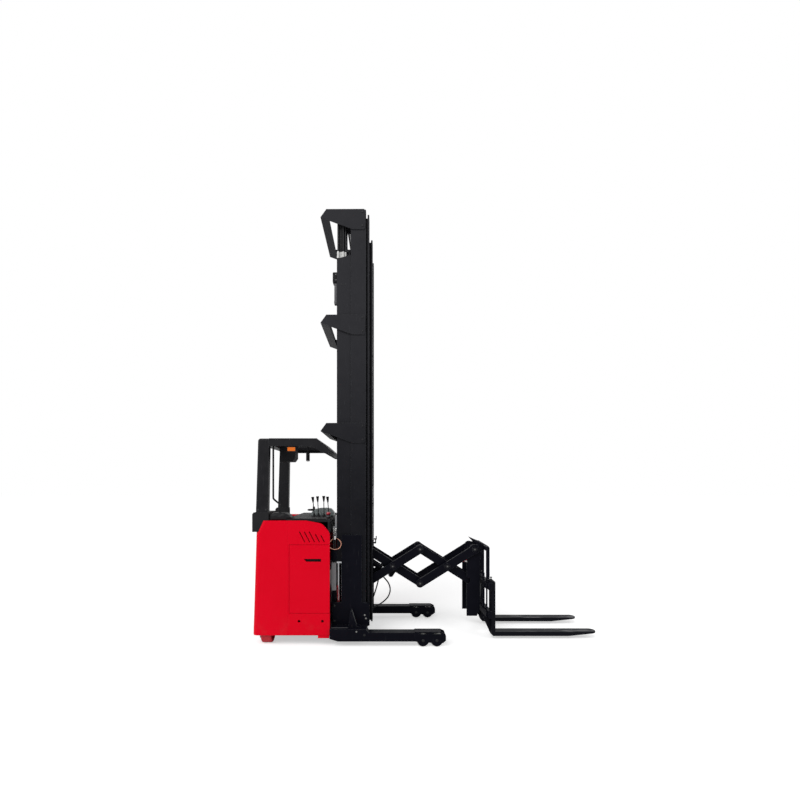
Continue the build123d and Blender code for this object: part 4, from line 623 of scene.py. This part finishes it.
# Columns: body, distance of its face from the truck's middle, x and z of its pins.
PIN_ENDS = (
    ("rear_outer_arm", 0.180, ((-0.3890, 0.7943), (-0.0710, 0.9930))),
    ("front_outer_arm", 0.182, ((-0.0710, 0.5956), (0.2470, 0.7943))),
    ("scissor_frame", 0.186, ((0.5651, 0.9930),)),
)
for body, face, places in PIN_ENDS:
    nipples = bmesh.new()
    pins = bmesh.new()
    for x, z in places:
        for side in (-1, 1):
            at = Vector((x, side * face, z))
            out = Vector((0, side, 0))
            add_turned(pins, at - out * 0.0005, out, PIN_HEAD)
            add_turned(nipples, at, out, NIPPLE, 16)
            for offset in (-0.026, 0.026):
                add_round(pins, at + Vector((offset, 0, 0.004)), out, 0.0042, 0.0016, 0.0005, 16)
    make_piece(body + "_nipples", nipples, zinc_plate, body)
    make_piece(body + "_pins", pins, black_screw, body)

# Hose ferrules: plated steel sleeves crimped onto the reach hoses where they meet the carriage and the
# port block, with a row of rings pressed into each.
# Columns: body, where its two hoses end, their way out, how many pairs of rings.
FERRULES = (
    ("fork_carriage", ((FOOT_X, -HOSE_Y, LOOP_FOOT_Z), (FOOT_X, HOSE_Y, SHORT_FOOT_Z)), (1, 0, 0), 4),
    ("cylinder_barrels", ((LOOP_PORT_X, -HOSE_Y, PORT_Z), (SHORT_PORT_X, HOSE_Y, PORT_Z)), (0, 0, -1), 1),
)
for body, places, way, pairs in FERRULES:
    rings = [(0.0089 - 0.0003 * (ring % 2), 0.006 + ring * 0.003) for ring in range(2 * pairs)]
    end = rings[-1][1] + 0.002
    ferrules = bmesh.new()
    for at in places:
        add_turned(ferrules, at, way, ((0.0060, 0), (0.0090, 0), (0.0090, 0.005), *rings,
                                       (0.0084, end), (0.0079, end)), 20)
    make_piece(body + "_ferrules", ferrules, zinc_plate, body)


# Console display: a smoked grey-green plastic hood, moulded in one and open below, clipped onto the
# console's top. The dark glass screen is let into its sloping rear face.
smoked_hood, place, shader = new_finish("smoked_hood", Coat_Weight=0.4, Coat_Roughness=0.1)
film = grain(place, 12, 4)
feed(shader, Base_Color=film.tint((0.150, 0.178, 0.178), (0.215, 0.250, 0.248)),
     Roughness=film * 0.12 + 0.2, Normal=relief(place, grain(place, 300, 2), 0.06, 0.0004, edge=0.003))
screen_glass = mottled("screen_glass", 20, 3, ((0.004, 0.006, 0.006), (0.010, 0.014, 0.014)), (0.05, 0.11),
                       Coat_Weight=1)
HOOD_SLOPE = ((-1.3570, 1.4180), (-1.3030, 1.4585))
HOOD = ((-1.3735, 1.3775), *HOOD_SLOPE, (-1.2500, 1.4672), (-1.1700, 1.4690), (-1.1250, 1.4600),
        (-1.0915, 1.4190), (-1.0915, 1.3775))
HOOD_ROUND_ABOVE = 1.40
hood = bmesh.new()
near_end, far_end = [[hood.verts.new((x, y, z)) for x, z in HOOD] for y in (-0.0422, 0.0622)]
for a, b, c, d in zip(near_end, near_end[1:], far_end[1:], far_end):
    hood.faces.new((a, b, c, d))
hood.faces.new(near_end)
hood.faces.new(far_end)
crown = [e for e in hood.edges
         if abs(e.verts[0].co.y - e.verts[1].co.y) > 0.05 or min(v.co.z for v in e.verts) > HOOD_ROUND_ABOVE]
soften(hood, crown, 0.006, 3)
make_piece("display_hood", hood, smoked_hood, "truck")
(rear_x, rear_z), (front_x, front_z) = HOOD_SLOPE
lean = Matrix.Rotation(-math.atan2(front_z - rear_z, front_x - rear_x), 4, "Y")
screen = bmesh.new()
add_plate(screen, (-0.026, -0.040, -0.001), (0.026, 0.040, 0.0018), 0.0012)
bmesh.ops.transform(screen, matrix=Matrix.Translation((-1.3305, 0.010, 1.4392)) @ lean, verts=screen.verts)
make_piece("display_screen", screen, screen_glass, "truck")

# Console buttons: a red mushroom stop button on its pale collar, and three black turned knobs in a row
# beside it, all screwed through the console's top from below.
stop_red = mottled("stop_red", 90, 3, ((0.42, 0.004, 0.02), (0.56, 0.012, 0.035)), (0.24, 0.39),
                   Coat_Weight=0.3)
CONSOLE_TOP = 1.3768
STOP_X = -1.130
STOP_Y = -0.220
button = bmesh.new()
add_turned(button, (STOP_X, STOP_Y, 1.390), (0, 0, 1), (
    (0.0150, 0), (0.0150, 0.010), (0.0225, 0.013), (0.0250, 0.019), (0.0248, 0.028), (0.0215, 0.0355),
    (0.0130, 0.0395), (0.0001, 0.0408)))
make_piece("stop_button", button, stop_red, "truck")
collar = bmesh.new()
add_turned(collar, (STOP_X, STOP_Y, CONSOLE_TOP), (0, 0, 1), (
    (0.0290, 0), (0.0290, 0.0060), (0.0270, 0.0080), (0.0262, 0.0145), (0.0150, 0.0146)))
make_piece("stop_collar", collar, box_grey, "truck")
dials = bmesh.new()
for x, radius in ((-1.180, 0.012), (-1.230, 0.012), (-1.290, 0.015)):
    add_turned(dials, (x, -0.300, CONSOLE_TOP), (0, 0, 1), (
        (radius, 0), (radius, 0.004), (radius * 0.8, 0.006), (radius * 0.75, 0.012), (0.0001, 0.013)))
make_piece("console_dials", dials, black_moulding, "truck")

# Armrest: a foam pad in black leather-like vinyl over the rear casing, sewn along both edges. The cover
# is blown up by a short cloth simulation from a slightly small shape; the sewn channels come after it.
arm_vinyl, place, shader = new_finish("arm_vinyl", Specular_IOR_Level=0.12)
pores = grain(place, 420, 3)
feed(shader, Base_Color=grain(place, 22, 4).tint((0.007, 0.007, 0.008), (0.018, 0.018, 0.020)),
     Roughness=pores * 0.2 + 0.38, Normal=relief(place, pores, 0.3, 0.0005))
PAD_LINE = ((-1.7365, 1.360), (-1.7365, 1.414), (-1.7260, 1.428), (-1.690, 1.4325), (-1.640, 1.4325),
            (-1.595, 1.431), (-1.562, 1.4275), (-1.538, 1.413), (-1.514, 1.395), (-1.4960, 1.3815),
            (-1.552, 1.3795), (-1.5560, 1.360))
PAD_NEAR = -0.5015
PAD_FAR = -0.3335
PAD_MIDDLE = -0.4175
PAD_HALF = 0.084
PAD_VOXEL = 0.0045
SEATED_BELOW = 1.366
MOST_MOVE = 0.004
CROWN = 0.0035
SEAMS = (-0.484, -0.351)
SEAM_HALF = 0.005
SEAM_DEPTH = 0.0022
core = bmesh.new()
near_end, far_end = [[core.verts.new((x, y, z)) for x, z in PAD_LINE] for y in (PAD_NEAR, PAD_FAR)]
core.faces.new(near_end)
core.faces.new(far_end)
for a, b, c, d in zip(near_end, near_end[1:] + near_end[:1], far_end[1:] + far_end[:1], far_end):
    core.faces.new((a, b, c, d))
rims = [e for e in core.edges if abs(e.verts[0].co.y - e.verts[1].co.y) < 0.01]
bmesh.ops.recalc_face_normals(core, faces=core.faces)
soften(core, rims, 0.005, 3)
foam = bpy.data.meshes.new("foam")
core.to_mesh(foam)
core.free()
cover = bpy.data.objects.new("foam", foam)
bpy.context.collection.objects.link(cover)
skin = cover.modifiers.new("skin", "REMESH")
skin.mode = "VOXEL"
skin.voxel_size = PAD_VOXEL
bpy.context.view_layer.update()
sewn = bpy.data.meshes.new_from_object(cover.evaluated_get(bpy.context.evaluated_depsgraph_get()))
cover.modifiers.clear()
cover.data = sewn
start = [v.co.copy() for v in sewn.vertices]
seat = cover.vertex_groups.new(name="seat")
seat.add([v.index for v in sewn.vertices if v.co.z < SEATED_BELOW], 1.0, "REPLACE")
cloth = cover.modifiers.new("cloth", "CLOTH")
cloth.settings.quality = 6
cloth.settings.use_pressure = True
cloth.settings.uniform_pressure_force = 4
cloth.settings.vertex_group_mass = "seat"
cloth.settings.effector_weights.gravity = 0
for step in range(1, 21):
    bpy.context.scene.frame_set(step)
blown = bpy.data.meshes.new_from_object(cover.evaluated_get(bpy.context.evaluated_depsgraph_get()))
bpy.context.scene.frame_set(1)
bpy.data.objects.remove(cover)
normals = [v.normal.copy() for v in blown.vertices]
for vert, was, normal in zip(blown.vertices, start, normals):
    move = vert.co - was
    swell = CROWN * (1 - ((was.y - PAD_MIDDLE) / PAD_HALF) ** 4) if was.z > 1.40 else 0.0
    at = was + move * min(1, MOST_MOVE / max(move.length, 1e-9)) + Vector((0, 0, swell))
    for seam in SEAMS:
        at -= normal * SEAM_DEPTH * max(0.0, 1 - ((was.y - seam) / SEAM_HALF) ** 2) * (was.z > 1.385)
    vert.co = at
blown.shade_smooth()
pad = settle("armrest_pad", blown, arm_vinyl, "truck")
finer = pad.modifiers.new("finer", "SUBSURF")
finer.levels = finer.render_levels = 1
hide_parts("armrest")

# Front frame: a small pale sensor plug with a flange, pushed into the frame's rear edge. Its red tail
# bends back and into the frame.
SENSOR_TAIL = ((0.456, -0.140, 0.849), (0.440, -0.142, 0.846), (0.428, -0.150, 0.852),
               (0.4765, -0.165, 0.870))
sensor = bmesh.new()
add_plate(sensor, (0.455, -0.150, 0.842), (0.4785, -0.130, 0.856), 0.002)
add_plate(sensor, (0.4740, -0.153, 0.839), (0.4800, -0.127, 0.859), 0.001)
make_piece("sensor_plug", sensor, white_nylon, "scissor_frame")
tail = bmesh.new()
for low, high in zip(SENSOR_TAIL, SENSOR_TAIL[1:]):
    run = Vector(high) - Vector(low)
    add_round(tail, low, run, 0.0022, run.length + 0.0008, 0.0003, 10)
make_piece("sensor_tail", tail, red_wire, "scissor_frame", smooth=60)

# Operator's floor: a black rubber mat laid on the plate, moulded in one with 31 raised ribs that run
# the length of the compartment.
mat_rubber, place, shader = new_finish("mat_rubber")
film = grain(place, 30, 5)
feed(shader, Base_Color=film.tint((0.012, 0.012, 0.012), (0.04, 0.038, 0.035)), Roughness=film * 0.2 + 0.65,
     Normal=relief(place, grain(place, 260, 2), 0.3, 0.0005))
RIB_PITCH = 0.0204
RIB_HALF = 0.005
mat = bmesh.new()
add_plate(mat, (-1.882, -0.186, 0.2500), (-1.534, 0.446, 0.2555), 0.002)
for step in range(31):
    y = -0.174 + step * RIB_PITCH
    add_plate(mat, (-1.874, y - RIB_HALF, 0.2550), (-1.544, y + RIB_HALF, 0.2585), 0.0012, 1)
make_piece("floor_mat", mat, mat_rubber, "truck")

# Load wheel axles: black turned caps on the outer and inner plates of each leg's wheel box, over the
# ends of the axles.
AXLE_CAP = ((0.0165, 0), (0.0165, 0.0020), (0.0120, 0.0030), (0.0120, 0.0070), (0.0100, 0.0090),
            (0.0001, 0.0092))
AXLES = ((-0.070, 0.070), (0.079, 0.070))
LEG_INSIDE = 0.445
axles = bmesh.new()
for side in (-1, 1):
    for x, z in AXLES:
        for face, way in ((LEG_FACE, side), (LEG_INSIDE, -side)):
            add_turned(axles, (x, side * face, z), (0, way, 0), AXLE_CAP, 20)
make_piece("axle_caps", axles, black_screw, "truck")

# Fork latches: a spring latch with a turned knob on top of each fork's hook, which locks the fork along
# the bar.
LATCH_KNOB = ((0.0090, 0), (0.0090, 0.008), (0.0050, 0.010), (0.0050, 0.020), (0.0110, 0.022),
              (0.0125, 0.027), (0.0110, 0.032), (0.0001, 0.033))
for body, y in (("left_fork", 0.258), ("right_fork", -0.258)):
    latch = bmesh.new()
    add_plate(latch, (0.716, y - 0.022, 0.6545), (0.752, y + 0.022, 0.6600), 0.002)
    add_turned(latch, (0.734, y, 0.6595), (0, 0, 1), LATCH_KNOB)
    make_piece(body + "_latch", latch, black_screw, body)

# Guard: black bolts at the feet of the rear posts, a moulded bezel of four bars round the amber marker
# lamp, and the pressed glass lens of the lamp that hangs under the roof.
bolts = bmesh.new()
for side in (-1, 1):
    for x in (-1.850, -1.765):
        add_bolt(bolts, (x, side * 0.520, 1.472), (0, side, 0), 0.014)
make_piece("guard_bolts", bolts, black_screw, "truck")
BEZEL_BAR = 0.004
BEZEL_FOOT = 2.1065
BEZEL_HEAD = 2.156
bezel = bmesh.new()
for z in (BEZEL_FOOT, BEZEL_HEAD - BEZEL_BAR):
    add_plate(bezel, (-1.540, -0.520, z), (-1.448, -0.476, z + BEZEL_BAR), 0.001)
for x in (-1.5405, -1.4515):
    add_plate(bezel, (x, -0.520, BEZEL_FOOT), (x + BEZEL_BAR, -0.476, BEZEL_HEAD), 0.001)
make_piece("lamp_bezel", bezel, black_moulding, "truck")
lamp_lens = mottled("lamp_lens", 200, 2, ((0.45, 0.46, 0.47), (0.60, 0.61, 0.62)), (0.10, 0.20),
                    Coat_Weight=0.8)
lens = bmesh.new()
add_turned(lens, (-1.408, 0, 2.0295), (0, 0, -1), (
    (0.0222, -0.006), (0.0222, 0), (0.0190, 0.0006), (0.0150, 0.0030), (0.0080, 0.0046), (0.0001, 0.0050)))
make_piece("work_lamp_lens", lens, lamp_lens, "truck")


# Studio: a plain pale floor, an even sky of light, a soft sun and two broad lamps, which keep the black
# steel readable. What the camera and the reflections see of the background is white.
def light_path(tree, *names):
    """1 for the rays of these kinds."""
    seen = tree.nodes.new("ShaderNodeLightPath")
    total = Socket(tree, seen.outputs[names[0]])
    for name in names[1:]:
        total = total.maths("MAXIMUM", total, Socket(tree, seen.outputs[name]))
    return total


SKY_LIGHT = 0.38
sky = bpy.data.worlds.new("studio")
bpy.context.scene.world = sky
sky.use_nodes = True
backdrop = sky.node_tree.nodes["Background"]
seen = light_path(sky.node_tree, "Is Camera Ray", "Is Glossy Ray", "Is Transmission Ray")
sky.node_tree.links.new((seen * (1 - SKY_LIGHT) + SKY_LIGHT).output, backdrop.inputs["Strength"])
backdrop.inputs["Color"].default_value = (1, 1, 1, 1)

floor_finish, place, shader = new_finish("studio_floor", Roughness=0.9, Specular_IOR_Level=0.0)
shader.inputs["Emission Color"].default_value = (1, 1, 1, 1)
feed(shader, Base_Color=grain(place, 0.4, 2).tint((0.80, 0.80, 0.805), (0.83, 0.83, 0.83)),
     Emission_Strength=light_path(shader.id_data, "Is Camera Ray") * 0.5)
ground = bmesh.new()
bmesh.ops.create_grid(ground, x_segments=8, y_segments=8, size=60)
floor_mesh = bpy.data.meshes.new("studio_floor")
ground.to_mesh(floor_mesh)
ground.free()
studio_floor = bpy.data.objects.new("studio_floor", floor_mesh)
bpy.context.collection.objects.link(studio_floor)
floor_mesh.materials.append(floor_finish)

# Columns: name, kind, energy, place, what it is aimed at, and its angle or its width.
LAMPS = (
    ("key_sun", "SUN", 1.2, (-3, -5, 7), (0, 0, 1), 0.6),
    ("left_panel", "AREA", 70, (-5.0, -3.5, 3.5), (-0.7, 0, 2.2), 3.0),
    ("right_panel", "AREA", 60, (4.0, -3.0, 3.0), (-0.5, 0, 1.8), 3.0),
)
for name, kind, energy, at, aim, width in LAMPS:
    data = bpy.data.lights.new(name, kind)
    data.energy = energy
    if kind == "SUN":
        data.angle = width
    else:
        data.shape = "SQUARE"
        data.size = width
    lamp = bpy.data.objects.new(name, data)
    lamp.location = at
    lamp.rotation_euler = (Vector(aim) - Vector(at)).to_track_quat("-Z", "Y").to_euler()
    bpy.context.collection.objects.link(lamp)
